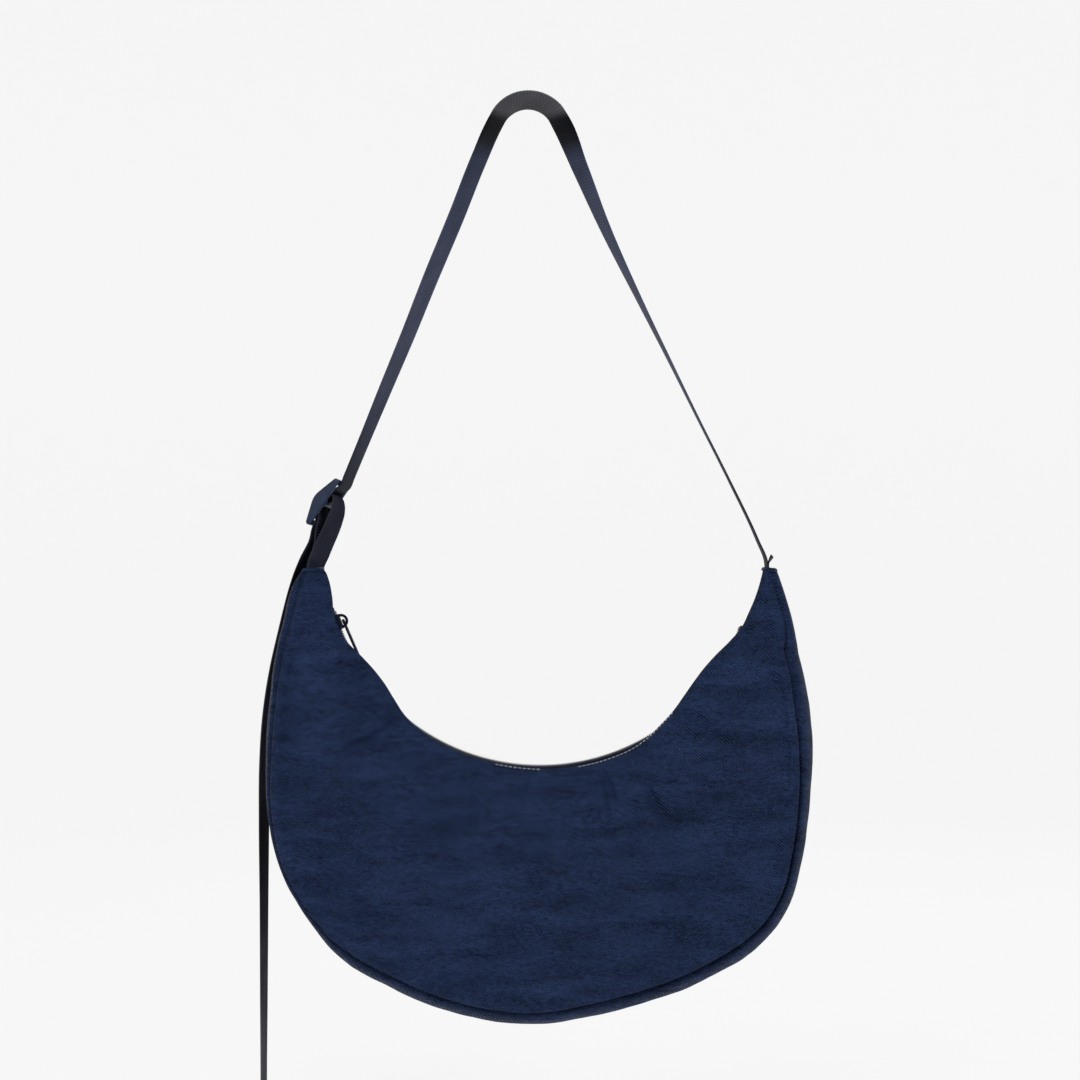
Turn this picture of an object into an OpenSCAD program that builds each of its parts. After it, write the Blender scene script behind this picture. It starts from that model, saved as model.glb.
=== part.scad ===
/* [Bag] */
// Radius of the arc that the zipped mouth follows
mouth_r = 154.5; // [150:0.5:160]
// Distance from the centre of the mouth's arc down to the bottom of the bag
drop_r = 339; // [325:1:350]
// Depth between the two seams along the bottom
bag_depth = 70; // [60:1:80]
// Width of the mouth between its two panels
mouth_w = 17; // [16.5:0.5:19]
// How far the gusset bulges out past its seams
gusset_bulge = 12; // [8:0.5:14]
// Thickness of the crinkled nylon with its coating
cloth_t = 1; // [0.8:0.1:1.1]
// Angle by which each tip lies below the centre of the mouth's arc
tip_angle = 4.2; // [3.5:0.1:5]
/* [Tips] */
// Depth of the two tips
tip_depth = 31; // [30.5:0.5:34]
// Radius of the tips' inner side about the centre of the mouth's arc
tip_in_r = 156.5; // [156:0.5:157]
// How far the gusset bulges out at the tips
tip_bulge = 3.5; // [3:0.5:4]
/* [Seams] */
// Width of the seam allowance inside the bag
seam_w = 9; // [8:0.5:11]
// Width of the tape that binds the seam allowance
binding_w = 6; // [5:0.5:7]
// Thickness of the binding tape
binding_t = 0.5; // [0.4:0.1:0.7]
/* [Pocket] */
// Depth of the slip pocket inside the back panel
pocket_h = 95; // [80:1:105]
// Height of the hem along the pocket's opening
pocket_hem = 12; // [8:1:15]
/* [Zip] */
// Thickness of the zip's woven tape
tape_t = 0.6; // [0.5:0.1:0.8]
// Width of the tape's edge that is sewn down inside each panel
tape_leg = 8; // [6:0.5:9]
// Width of one row of the coil
coil_w = 2.4; // [2:0.1:2.6]
// Height of the coil above the tape
coil_h = 1.6; // [1.4:0.1:1.9]
// Gap between the two rows of the coil
coil_gap = 1.4; // [1.3:0.1:1.6]
// Length of each metal stop
stop_l = 2.5; // [2:0.5:3]
// Length of the slider
slider_l = 11; // [10:0.5:12]
// Width of the slider
slider_w = 9.5; // [9.5:0.1:10.5]
// Thickness of the slider's two plates
plate_t = 1.1; // [1:0.1:1.3]
// Length of the pull from its pivot to its end
pull_l = 29; // [25:1:32]
// Width of the pull
pull_w = 7; // [6.5:0.5:9]
// Thickness of the pull
pull_t = 1.6; // [1.4:0.1:1.8]
/* [Webbing] */
// Width of the webbing
web_w = 25; // [24:0.5:25.2]
// Thickness of the webbing
web_t = 1.4; // [1.2:0.1:1.5]
// Length of webbing sewn into each tip
sewn_l = 14; // [10:1:18]
// Length of the strap's turned-up end above the right tip
stub_l = 9; // [6:1:12]
/* [Strap] */
// Height of the hang point above the centre of the mouth's arc
hang_h = 325; // [310:1:340]
// Sideways distance from the hang point to the centre of the mouth's arc
hang_off = 8.6; // [6:0.2:11]
// Radius of the strap's bend over the peg that it hangs on
arch_r = 25; // [20:0.5:30]
// Height of the strap's free end below the bottom of the bag
tail_drop = 70; // [50:5:90]
// Distance of the free tail behind the middle of the bag
tail_back = 18; // [16:0.5:22]
// Length of the folded hem at the free end
tail_hem = 22; // [15:1:30]
/* [Adjuster] */
// Length of the adjuster's side rails
rail_l = 39; // [38.5:0.5:40]
// Width of each side rail
rail_w = 4; // [3.5:0.5:5]
// Height of the side rails at their middle
rail_h = 8; // [7.5:0.5:9]
// Radius of the two outer bars
bar_r = 2.2; // [2:0.1:2.3]
// Radius of the round centre bar
pivot_r = 3; // [2.6:0.1:3.1]
// Distance between the centre bar and each outer bar
bar_step = 17.3; // [17:0.1:17.6]
// Height of the adjuster's centre bar above the left tip
loop_h = 47; // [45:1:49]
// Sideways distance from the left tip to the adjuster's centre bar
loop_lean = 9.6; // [9:0.1:10.5]
/* [Clearances] */
// Gap between pieces of cloth, webbing and zip
gap = 0.3; // [0.25:0.05:0.35]
// Overrun of every cut
cut = 1; // [0.5:0.5:2]
/* [Hidden] */
$fn = 64;

navy = "#1d2b4d";
dark = "#10131c";

// Places on the bag: u runs from 0 at the left tip round the bottom to 1 at the right tip
mouth_c = [hang_off, 0, -hang_h];
start_a = 180 + tip_angle;
sweep_a = 180 - 2 * tip_angle;
joint_share = 0.494;
zip_a = [195, 340];
function arc_a(l) = l / mouth_r * 180 / PI;
tab_u = [(zip_a[0] - arc_a(gap) - start_a) / sweep_a, (zip_a[1] + arc_a(gap) - start_a) / sweep_a];
tab_steps = 5;
half_steps = 18;
panel_cols = 7;
gusset_cols = 6;
function steps(from, to, n) = [for (i = [0 : n - 1]) mix(from, to, i / n)];
tab_us = [concat(steps(0, tab_u[0], tab_steps), tab_u[0]), concat(steps(tab_u[1], 1, tab_steps), 1)];
half_us = [
    concat(steps(0, tab_u[0], tab_steps), steps(tab_u[0], joint_share, half_steps)),
    concat([for (i = [1 : half_steps - 1]) mix(joint_share, tab_u[1], i / half_steps)], tab_us[1])
];

// Outer edge as shares of drop_r, by the share of the way from the bottom to a tip
outline_shares = [
    [-0.12, 0.988], [0, 1], [0.12, 0.988], [0.28, 0.968], [0.35, 0.944], [0.45, 0.873], [0.52, 0.808],
    [0.62, 0.726], [0.7, 0.664], [0.79, 0.602], [0.88, 0.555], [1, 0.503]
];
// Shares of the way from the tip over which the bag reaches its full depth, bulge and seam width
depth_share = 0.24;
bulge_share = 0.14;
lip_share = 0.055;
seam_share = [0.035, 0.085];

function unit(v) = v / norm(v);
function mix(a, b, k) = a + (b - a) * k;
function ease(k) = let (c = max(0, min(1, k))) c * c * (3 - 2 * c);
function near_tip(u) = min(u, 1 - u);

// Smooth curve through rows of [place, value]
function rise(t, i) =
    let (a = t[max(i - 1, 0)], b = t[min(i + 1, len(t) - 1)]) (b[1] - a[1]) / (b[0] - a[0]);
function curve(t, x) =
    let (
        n = len(t) - 2,
        i = max([0, for (k = [0 : n]) if (t[k][0] <= x) k]),
        h = t[i + 1][0] - t[i][0],
        k = (x - t[i][0]) / h,
        a = t[i][1],
        b = t[i + 1][1],
        m = rise(t, i) * h,
        q = rise(t, i + 1) * h
    ) a + k * (m + k * (3 * (b - a) - 2 * m - q + k * (2 * (a - b) + m + q)));

// Smooth path through points, with a number of steps between each two
function spline(p, steps) = [
    for (i = [0 : len(p) - 2], k = [0 : steps - 1])
        let (
            a = p[max(i - 1, 0)], b = p[i], c = p[i + 1], d = p[min(i + 2, len(p) - 1)],
            t = k / steps
        ) (2 * b + (c - a) * t + (2 * a - 5 * b + 4 * c - d) * t * t
            + (3 * b - a - 3 * c + d) * t * t * t) / 2,
    p[len(p) - 1]
];

// A section point [distance from the arc's centre, depth] placed at u or at an angle
function at_angle(a, p) = mouth_c + [p[0] * cos(a), p[1], p[0] * sin(a)];
function at_u(u, p) = at_angle(start_a + sweep_a * u, p);

function outer_r(u) = drop_r * curve(outline_shares, abs(2 * u - 1));
function bulge(u) = mix(tip_bulge, gusset_bulge, ease(near_tip(u) / bulge_share));
function seam_r(u) = outer_r(u) - bulge(u);
function seam_half(u) = mix(tip_depth, bag_depth, ease(near_tip(u) / depth_share)) / 2;
function lip_half(u) = mix(tip_depth, mouth_w, ease(near_tip(u) / lip_share)) / 2;
lip_h = coil_h - gap;
function lip_r(u) = mix(tip_in_r, mouth_r - lip_h, ease(near_tip(u) / lip_share));
function allowance(u) =
    mix(1.5 * cloth_t, seam_w, ease((near_tip(u) - seam_share[0]) / (seam_share[1] - seam_share[0])));

// Front panel's outer face across the section: v is 0 at the mouth and 1 at the seam
belly_share = 0.12;
function face_half(u, v) =
    mix(lip_half(u), seam_half(u), sin(90 * v)) + belly_share * (seam_half(u) - lip_half(u)) * sin(180 * v);
function face(u, v) = [mix(lip_r(u), seam_r(u), v), -face_half(u, v)];
function inward(p, q) = let (d = unit(q - p)) [-d[1], d[0]];

// The seam's directions: back along the panel, out along the gusset, and in along the allowance
function along_panel(u) = unit(face(u, 1 - 1 / panel_cols) - face(u, 1));
function along_gusset(u) = unit([2 * bulge(u) / seam_half(u), 1]);
function along_seam(u) = unit(along_panel(u) + along_gusset(u));
function half_angle(a, b) = acos(a * b) / 2;
function seam_start(u, d) = face(u, 1) + d * gap / 2 / sin(2 * half_angle(d, along_seam(u)));
function corner(d, e) = cloth_t / sin(half_angle(d, e)) * unit(d + e);
function side_of(d, e) = unit(d - (d * e) * e);

function panel_row(u, inner) =
    let (d = along_panel(u), e = along_seam(u), s = seam_start(u, d)) [
        for (j = [0 : panel_cols - 1])
            let (p = face(u, j / panel_cols), q = face(u, (j + 1) / panel_cols))
                inner ? p + cloth_t * inward(p, q) : p,
        inner ? s + corner(d, e) : s,
        s + allowance(u) * e + (inner ? cloth_t * side_of(d, e) : [0, 0])
    ];

function flipped(p) = [p[0], -p[1]];
function gusset_half(u, inner) =
    let (d = along_gusset(u), e = along_seam(u), s = seam_start(u, d)) [
        s + allowance(u) * e + (inner ? cloth_t * side_of(d, e) : [0, 0]),
        inner ? s + corner(d, e) : s,
        for (j = [1 : gusset_cols / 2])
            let (w = 1 - 2 * j / gusset_cols, h = seam_half(u))
                [seam_r(u) + bulge(u) * (1 - w * w) - (inner ? cloth_t : 0), -w * h]
    ];
function gusset_row(u, inner) =
    let (h = gusset_half(u, inner), n = len(h)) [for (p = h) p, for (j = [n - 2 : -1 : 0]) flipped(h[j])];

function binding_row(u, t) =
    let (
        d = along_gusset(u), e = along_seam(u), n = side_of(d, e),
        h = cloth_t + gap + t, s = face(u, 1), w = allowance(u)
    ) [
        s + (w - binding_w) * e - h * n, s + (w + gap + t) * e - h * n,
        s + (w + gap + t) * e + h * n, s + (w - binding_w) * e + h * n
    ];

// Closed solid between two grids of points, rows along the sweep and columns across it
module sheet(a, b) {
    n = len(a);
    m = len(a[0]);
    function id(s, i, j) = (s * n + i) * m + j;
    function two(p, q, r, s) = [[p, r, q], [p, s, r]];
    quads = [
        for (i = [0 : n - 2], j = [0 : m - 2]) [id(0, i, j), id(0, i, j + 1), id(0, i + 1, j + 1), id(0, i + 1, j)],
        for (i = [0 : n - 2], j = [0 : m - 2]) [id(1, i, j), id(1, i + 1, j), id(1, i + 1, j + 1), id(1, i, j + 1)],
        for (j = [0 : m - 2]) [id(0, 0, j + 1), id(0, 0, j), id(1, 0, j), id(1, 0, j + 1)],
        for (j = [0 : m - 2]) [id(0, n - 1, j), id(0, n - 1, j + 1), id(1, n - 1, j + 1), id(1, n - 1, j)],
        for (i = [0 : n - 2]) [id(0, i, 0), id(0, i + 1, 0), id(1, i + 1, 0), id(1, i, 0)],
        for (i = [0 : n - 2]) [id(0, i + 1, m - 1), id(0, i, m - 1), id(1, i, m - 1), id(1, i + 1, m - 1)]
    ];
    polyhedron([for (g = [a, b], row = g, p = row) p], [for (q = quads, f = two(q[0], q[1], q[2], q[3])) f]);
}

module panel() {
    us = concat(half_us[0], joint_share, half_us[1]);
    sheet(
        [for (u = us) [for (p = panel_row(u, false)) at_u(u, p)]],
        [for (u = us) [for (p = panel_row(u, true)) at_u(u, p)]]
    );
}

module gusset(us) {
    sheet(
        [for (u = us) [for (p = gusset_row(u, false)) at_u(u, p)]],
        [for (u = us) [for (p = gusset_row(u, true)) at_u(u, p)]]
    );
}

module binding() {
    us = [for (u = concat(half_us[0], joint_share, half_us[1])) if (near_tip(u) > seam_share[1]) u];
    sheet(
        [for (u = us) [for (p = binding_row(u, 0)) at_u(u, p)]],
        [for (u = us) [for (p = binding_row(u, binding_t)) at_u(u, p)]]
    );
}

module front_panel() {
    color(navy) panel();
}

module back_panel() {
    color(navy) mirror([0, 1, 0]) panel();
}

// Half of the gap between the two gusset pieces, as a share of the sweep
joint_gap = gap / 2 / drop_r / sweep_a * 180 / PI;

module gusset_left() {
    color(navy) gusset(concat(half_us[0], joint_share - joint_gap));
}

module gusset_right() {
    color(navy) gusset(concat(joint_share + joint_gap, half_us[1]));
}

module seam_binding_front() {
    color(dark) binding();
}

module seam_binding_back() {
    color(dark) mirror([0, 1, 0]) binding();
}

// Binding over the joint of the two gusset pieces, on their inner face
joint_cols = 2;
module gusset_joint_binding() {
    half_u = binding_w / drop_r / sweep_a * 180 / PI;
    function row(u, t) = [
        for (j = [-joint_cols : joint_cols])
            let (w = 2 * j / gusset_cols)
                [seam_r(u) + bulge(u) * (1 - w * w) - cloth_t - 2 * gap - t, w * seam_half(u)]
    ];
    us = [for (k = [-1 : 1]) joint_share + k * half_u];
    color(dark) sheet(
        [for (u = us) [for (p = row(u, 0)) at_u(u, p)]],
        [for (u = us) [for (p = row(u, binding_t)) at_u(u, p)]]
    );
}

// Slip pocket: a cloth sheet that lies on the back panel's inner face
pocket_share = [0.33, 0.67];
pocket_steps = 14;
pocket_cols = 6;
function pocket_point(u, d, lift) =
    let (
        r = mouth_r + tape_t + tape_leg + gap + d,
        v = (r - lip_r(u)) / (seam_r(u) - lip_r(u)),
        h = face_half(u, v)
    ) [r, h - cloth_t - gap - lift];

module pocket_sheet(from, to, low, high) {
    us = [for (i = [0 : pocket_steps]) mix(pocket_share[0], pocket_share[1], i / pocket_steps)];
    function row(u, lift) = [for (j = [0 : pocket_cols]) pocket_point(u, mix(from, to, j / pocket_cols), lift)];
    sheet(
        [for (u = us) [for (p = row(u, high)) at_u(u, p)]],
        [for (u = us) [for (p = row(u, low)) at_u(u, p)]]
    );
}

module inner_pocket() {
    color(navy) pocket_sheet(0, pocket_h, 0, cloth_t);
}

module pocket_hem_band() {
    color(navy) pocket_sheet(0, pocket_hem, cloth_t + gap, 2 * cloth_t + gap);
}

// Zip: everything turns about the axis of the mouth's arc, so that the slider can run along it
panel_inner = mouth_w / 2 - cloth_t;
module about_mouth(from, to) {
    translate(mouth_c) rotate([90, 0, 0]) rotate([0, 0, from]) rotate_extrude(angle = to - from, $fn = 180) children();
}

// Local frame on the mouth's arc: x outward from its centre, y back, z along the zip to the right
module on_mouth(angle) {
    translate(mouth_c) rotate([0, -angle, 0]) children();
}

module tape_section() {
    edge = panel_inner - gap;
    translate([mouth_r, coil_gap / 2]) square([tape_t, edge - coil_gap / 2]);
    translate([mouth_r, edge - tape_t]) square([tape_t + tape_leg, tape_t]);
}

coil_seat = gap / 3;
module coil_section() {
    translate([mouth_r - coil_h, coil_gap / 2]) square([coil_h - coil_seat, coil_w]);
}

// Angles by which the coil stops short of its tapes at the two ends
coil_short_a = [2, 1.5];
coil_a = [zip_a[0] + coil_short_a[0], zip_a[1] - coil_short_a[1]];

module zip_tape_front() {
    color(dark) about_mouth(zip_a[0], zip_a[1]) tape_section();
}

module zip_tape_back() {
    color(dark) mirror([0, 1, 0]) about_mouth(zip_a[0], zip_a[1]) tape_section();
}

module zip_coil_front() {
    color(dark) about_mouth(coil_a[0], coil_a[1]) coil_section();
}

module zip_coil_back() {
    color(dark) mirror([0, 1, 0]) about_mouth(coil_a[0], coil_a[1]) coil_section();
}

// Two metal stops crimped on the tapes at the closed end
module zip_top_stops() {
    to = coil_a[0] - arc_a(gap);
    from = to - arc_a(stop_l);
    color("silver") for (m = [0, 1]) mirror([0, m, 0]) about_mouth(from, to) coil_section();
}

// One metal box across both tapes at the open end
module zip_bottom_stop() {
    from = coil_a[1] + arc_a(gap);
    half = coil_gap / 2 + coil_w;
    color("silver") about_mouth(from, from + arc_a(stop_l))
        translate([mouth_r - coil_h, -half]) square([coil_h - coil_seat, 2 * half]);
}

// Cloth tabs that close the mouth between the zip's ends and the tips
module zip_end_tab(us) {
    function row(u, t) = [for (j = [-1, 1]) [lip_r(u) + t, j * (lip_half(u) - cloth_t - gap)]];
    sheet(
        [for (u = us) [for (p = row(u, cloth_t)) at_u(u, p)]],
        [for (u = us) [for (p = row(u, 0)) at_u(u, p)]]
    );
}

module zip_end_tab_left() {
    color(navy) zip_end_tab(tab_us[0]);
}

module zip_end_tab_right() {
    color(navy) zip_end_tab(tab_us[1]);
}

// Seam allowance turned in over the end of each tip, with a slot for the webbing
tip_steps = 6;
module tip_outline() {
    half = lip_half(0);
    edge = seam_half(0);
    polygon([
        [lip_r(0), half], [lip_r(0), -half],
        for (j = [0 : tip_steps])
            let (w = 1 - 2 * j / tip_steps) [seam_r(0) + bulge(0) * (1 - w * w), -w * edge]
    ]);
}

module tip_fold(angle, side) {
    low = side > 0 ? gap : -gap - cloth_t;
    on_mouth(angle) translate([0, 0, low]) linear_extrude(cloth_t) tip_outline();
}

// Strap: it runs from the adjuster up over the peg and down to the right tip
tip_mid_r = (lip_r(0) + outer_r(0)) / 2;
loop_r = tip_mid_r - cloth_t;
left_tip = at_u(0, [loop_r, 0]);
right_tip = at_u(1, [tip_mid_r, 0]);
loop_rise = [loop_lean, 0, loop_h];
arch_c = [0, 0, web_t / 2 - arch_r];
function touch_a(p, side) =
    let (d = p - arch_c, a = atan2(d[2], d[0])) (a < 0 && side < 0 ? a + 360 : a) + side * acos(arch_r / norm(d));
function arch_point(a) = arch_c + arch_r * [cos(a), 0, sin(a)];

// The adjuster's own frame: rail runs up its rails, bar along its bars, and out points left
rail_a = 55.3;
foot_l = 1.66 * bar_step;
rail_flat = [cos(rail_a), 0, sin(rail_a)];
leg_up = let (p = left_tip + loop_rise + foot_l * rail_flat) unit(arch_point(touch_a(p, -1)) - p);
function inside(t) = unit([t[2], 0, -t[0]]);
function width_dir(t, a) = cos(a) * [0, 1, 0] + sin(a) * inside(t);
bar_turn = 13;
bar = width_dir(leg_up, bar_turn);
pivot = left_tip + loop_rise - [0, (loop_rise * bar) / bar[1], 0];
rail = unit(rail_flat - (rail_flat * bar) * bar);
out = cross(rail, bar);
function in_frame(p) = pivot + p[0] * rail + p[1] * out;

module in_adjuster() {
    multmatrix([for (k = [0 : 2]) [rail[k], bar[k], out[k], pivot[k]]]) children();
}

// Paths in the adjuster's frame, as shares of the distance between its bars
web_off = bar_r + gap + web_t / 2;
loop_off = pivot_r + gap + web_t / 2;
weave_off = loop_off + web_t + gap;
leg_in = [leg_up * rail, leg_up * out];
tip_dir = let (t = at_u(0.01, [loop_r, 0]) - left_tip) unit([t * rail, t * out]);
tip_in = [(left_tip - pivot) * rail, (left_tip - pivot) * out];
top_pass = [bar_step, -web_off];
low_pass = [-bar_step, -web_off];
weave_top = top_pass + 0.72 * bar_step * leg_in;
weave_path = spline([
    weave_top,
    top_pass + 0.36 * bar_step * leg_in,
    top_pass,
    bar_step * [0.82, -0.145],
    bar_step * [0.636, -0.017],
    bar_step * [0.46, 0.145],
    bar_step * [0.29, 0.27],
    weave_off * [0.42, 0.97],
    weave_off * [0, 1],
    weave_off * [-0.45, 0.9],
    bar_step * [-0.324, 0.185],
    bar_step * [-0.52, 0.043],
    bar_step * [-0.717, -0.098],
    low_pass + bar_step * [0.13, 0.01],
    low_pass,
    low_pass + bar_step * [-0.27, -0.08],
    low_pass + bar_step * [-0.55, -0.2]
], 3);
layer = web_t / 2 + gap;
tip_lead = 3 * cloth_t;
tip_way_share = [0.35, 0.6];
loop_sewn = 0.45 * sewn_l;
tip_side = [-tip_dir[1], tip_dir[0]];
loop_path = spline([
    tip_in + layer * tip_side + loop_sewn * tip_dir,
    tip_in + layer * tip_side - tip_lead * tip_dir,
    mix(tip_in, [0, 0], tip_way_share[0]) + bar_step * [0, -0.22],
    mix(tip_in, [0, 0], tip_way_share[1]) + bar_step * [0, -0.33],
    bar_step * [-0.46, -0.61],
    bar_step * [-0.06, -0.49],
    bar_step * [0.16, -0.36],
    bar_step * [0.27, -0.18],
    bar_step * [0.275, 0],
    loop_off * [0.82, 0.66],
    loop_off * [0, 1],
    loop_off * [-0.7, 0.72],
    bar_step * [-0.375, 0.015],
    bar_step * [-0.59, -0.145],
    bar_step * [-0.81, -0.265],
    bar_step * [-1, -0.325],
    mix(tip_in, [0, 0], tip_way_share[0]) + bar_step * [0, 0.02],
    tip_in - layer * tip_side - tip_lead * tip_dir,
    tip_in - layer * tip_side + loop_sewn * tip_dir
], 2);

// Flat outline of a strip that follows a path in its plane
function strip_side(p, off) = [
    for (i = [0 : len(p) - 1])
        let (d = unit(p[min(i + 1, len(p) - 1)] - p[max(i - 1, 0)])) p[i] + off * [-d[1], d[0]]
];
module strip(p) {
    left = strip_side(p, web_t / 2);
    right = strip_side(p, -web_t / 2);
    n = len(p) - 1;
    translate([0, web_w / 2, 0]) rotate([90, 0, 0]) linear_extrude(web_w)
        polygon([for (q = left) q, for (i = [n : -1 : 0]) right[i]]);
}

module strap_weave() {
    color(navy) in_adjuster() strip(weave_path);
}

module anchor_loop() {
    color(navy) in_adjuster() strip(loop_path);
}

// Strips that twist: each ring is [point, direction, direction across the webbing]
module ribbon(rings, off = 0) {
    function edge(r, side, face) =
        let (n = unit(cross(r[2], r[1]))) r[0] + side * web_w / 2 * unit(r[2]) + (off + face * web_t / 2) * n;
    sheet(
        [for (r = rings) [edge(r, -1, 1), edge(r, 1, 1)]],
        [for (r = rings) [edge(r, -1, -1), edge(r, 1, -1)]]
    );
}

// Twist of the strap in degrees, by the share of the way along it
twist_rows = [[0, bar_turn], [0.2, 19], [0.38, 22], [0.44, 24], [0.52, 27], [0.6, 18], [0.7, 7], [0.82, 0], [1, 0]];
entry_lift = 3;
strap_foot = in_frame(weave_top) + gap * leg_up;
strap_entry = right_tip + [0, 0, entry_lift];
left_a = touch_a(strap_foot, -1);
right_a = touch_a(strap_entry, 1);
tip_down = unit(at_u(0.99, [tip_mid_r, 0]) - right_tip);
leg_steps = 9;
arch_steps = 16;
strap_line = [
    for (i = [0 : leg_steps - 1]) mix(strap_foot, arch_point(left_a), i / leg_steps),
    for (i = [0 : arch_steps]) arch_point(mix(left_a, right_a, i / arch_steps)),
    for (i = [1 : leg_steps]) mix(arch_point(right_a), strap_entry, i / (leg_steps + 0.3)),
    strap_entry + 0.5 * entry_lift * tip_down,
    right_tip,
    right_tip + sewn_l * tip_down
];
function line_dir(p, i) = unit(p[min(i + 1, len(p) - 1)] - p[max(i - 1, 0)]);
strap_rings = [
    for (i = [0 : len(strap_line) - 1])
        let (t = i == 0 ? leg_up : line_dir(strap_line, i))
            [strap_line[i], t, i == 0 ? bar : width_dir(t, curve(twist_rows, i / (len(strap_line) - 1)))]
];

module strap() {
    color(navy) ribbon(strap_rings);
}

// The strap's cut end, turned back up out of the right tip
module strap_end_right() {
    up = -tip_down;
    side = (web_t + gap) * unit([up[2], 0, -up[0]]);
    base = right_tip + side;
    color(dark) ribbon([
        [base - sewn_l * up, up, [0, 1, 0]],
        [base, up, [0, 1, 0]],
        [base + 0.6 * stub_l * up, up, [0.08, 1, 0]],
        [base + stub_l * (up + [0.12, 0, 0]), unit(up + [0.35, 0, 0]), [0.2, 1, 0]]
    ]);
}

// The free tail hangs past the bag's left flank, behind its middle
tail_gap = 2.4;
tail_low = mouth_c[2] - drop_r - tail_drop;
tail_start = in_frame(weave_path[len(weave_path) - 1]);
tail_dir = let (n = len(weave_path) - 1) unit(in_frame(weave_path[n]) - in_frame(weave_path[n - 1]));
flank_us = [0.045, 0.09, 0.135, 0.18, 0.215];
function flank(u) = at_u(u, [outer_r(u), 0]) + [-tail_gap, tail_back, 0];
widest = flank(flank_us[len(flank_us) - 1]);
free_steps = 6;
tail_line = concat(
    spline(concat(
        [tail_start + gap * tail_dir],
        [left_tip + [tip_mid_r - outer_r(0) - tail_gap - web_t, 0.3 * tail_back, 0]],
        [for (u = flank_us) flank(u)],
        [widest + [0, 0, 0.12 * (tail_low - widest[2])]]
    ), 3),
    [for (i = [1 : free_steps]) mix(widest, [widest[0], tail_back, tail_low], mix(0.12, 1, i / free_steps))]
);
tail_turn_rows = [[0, bar_turn], [0.1, 10], [0.3, 8], [0.6, 12], [0.8, 8], [1, 3]];
tail_rings = [
    for (i = [0 : len(tail_line) - 1])
        let (a = curve(tail_turn_rows, i / (len(tail_line) - 1)))
            [tail_line[i], i == 0 ? tail_dir : line_dir(tail_line, i), i == 0 ? bar : [sin(a), cos(a), 0]]
];

module strap_tail() {
    color(navy) ribbon(tail_rings);
}

// The tail's end is folded back on itself and sewn
module strap_tail_hem() {
    n = len(tail_rings) - 1;
    end = tail_rings[n];
    top = [end[0] + [0, 0, tail_hem], end[1], end[2]];
    color(navy) ribbon([top, end], -web_t - gap);
}

module tip_fold_left() {
    slot = [bar_step, web_w + 4 * gap, 2 * layer + web_t + 3 * gap];
    color(navy) difference() {
        tip_fold(start_a, -1);
        in_adjuster() rotate([0, -atan2(tip_dir[1], tip_dir[0]), 0])
            translate([tip_in * tip_dir, 0, tip_in * tip_side]) cube(slot, center = true);
    }
}

module tip_fold_right() {
    slot = [2 * (web_t + gap) + 4 * gap, web_w + 2 * gap, 2 * tip_depth];
    color(navy) difference() {
        tip_fold(start_a + sweep_a, 1);
        on_mouth(start_a + sweep_a) translate([tip_mid_r + (web_t + gap) / 2, 0, 0]) cube(slot, center = true);
    }
}

// Adjuster: two bowed side rails joined by three bars
module rail_profile() {
    half = rail_l / 2 - bar_r;
    bow = rail_h - 2 * bar_r;
    bow_r = (half * half + bow * bow) / 2 / bow;
    for (k = [-1, 1]) translate([k * half, 0]) circle(bar_r);
    intersection() {
        translate([0, bow + bar_r - bow_r - bar_r]) circle(bow_r + bar_r, $fn = 200);
        translate([-half, -bar_r]) square([2 * half, rail_h]);
    }
}

module adjuster() {
    inside_w = web_w + 2 * gap;
    root = rail_w / 2;
    color("#22305a") in_adjuster() {
        for (k = [-1, 1])
            translate([0, k * (inside_w + rail_w) / 2 + rail_w / 2, 0]) rotate([90, 0, 0]) linear_extrude(rail_w)
                rail_profile();
        for (s = [-bar_step, bar_step])
            translate([s, 0, 0]) rotate([90, 0, 0])
                cylinder(r = bar_r, h = inside_w + 2 * root, center = true);
        rotate([90, 0, 0]) cylinder(r = pivot_r, h = inside_w + 2 * root, center = true);
    }
}

// Slider: two plates round the coil, joined by a web that runs between the two rows
slider_a = coil_a[0] + arc_a(slider_l / 2);
plate_in = mouth_r - coil_h - gap;
plate_out = mouth_r + tape_t + gap;
web_half = coil_gap / 2 - gap;
web_l = slider_l / 4;
module zip_slider() {
    lip = coil_gap / 2 + coil_w + gap;
    color("#141a2c") on_mouth(slider_a) {
        translate([plate_in - plate_t, -slider_w / 2, -slider_l / 2]) cube([plate_t, slider_w, slider_l]);
        translate([plate_out, -slider_w / 2, -slider_l / 2]) cube([plate_t, slider_w, slider_l]);
        for (m = [0, 1]) mirror([0, m, 0])
            translate([plate_in - plate_t, lip, -slider_l / 2])
                cube([plate_t + coil_h, slider_w / 2 - lip, slider_l]);
        translate([plate_in - plate_t, -web_half, -slider_l / 2])
            cube([plate_out - plate_in + 2 * plate_t, 2 * web_half, web_l]);
    }
}

// Half ring over the slider that holds the pull
bail_tube = 1;
bail_r = 4.2;
slider_top = plate_in - plate_t;
module zip_slider_bail() {
    color("#141a2c") on_mouth(slider_a) translate([slider_top, 0, 0])
        rotate([90, 0, 0]) rotate([0, 0, 90]) rotate_extrude(angle = 180) translate([bail_r, 0]) circle(bail_tube);
}

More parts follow.
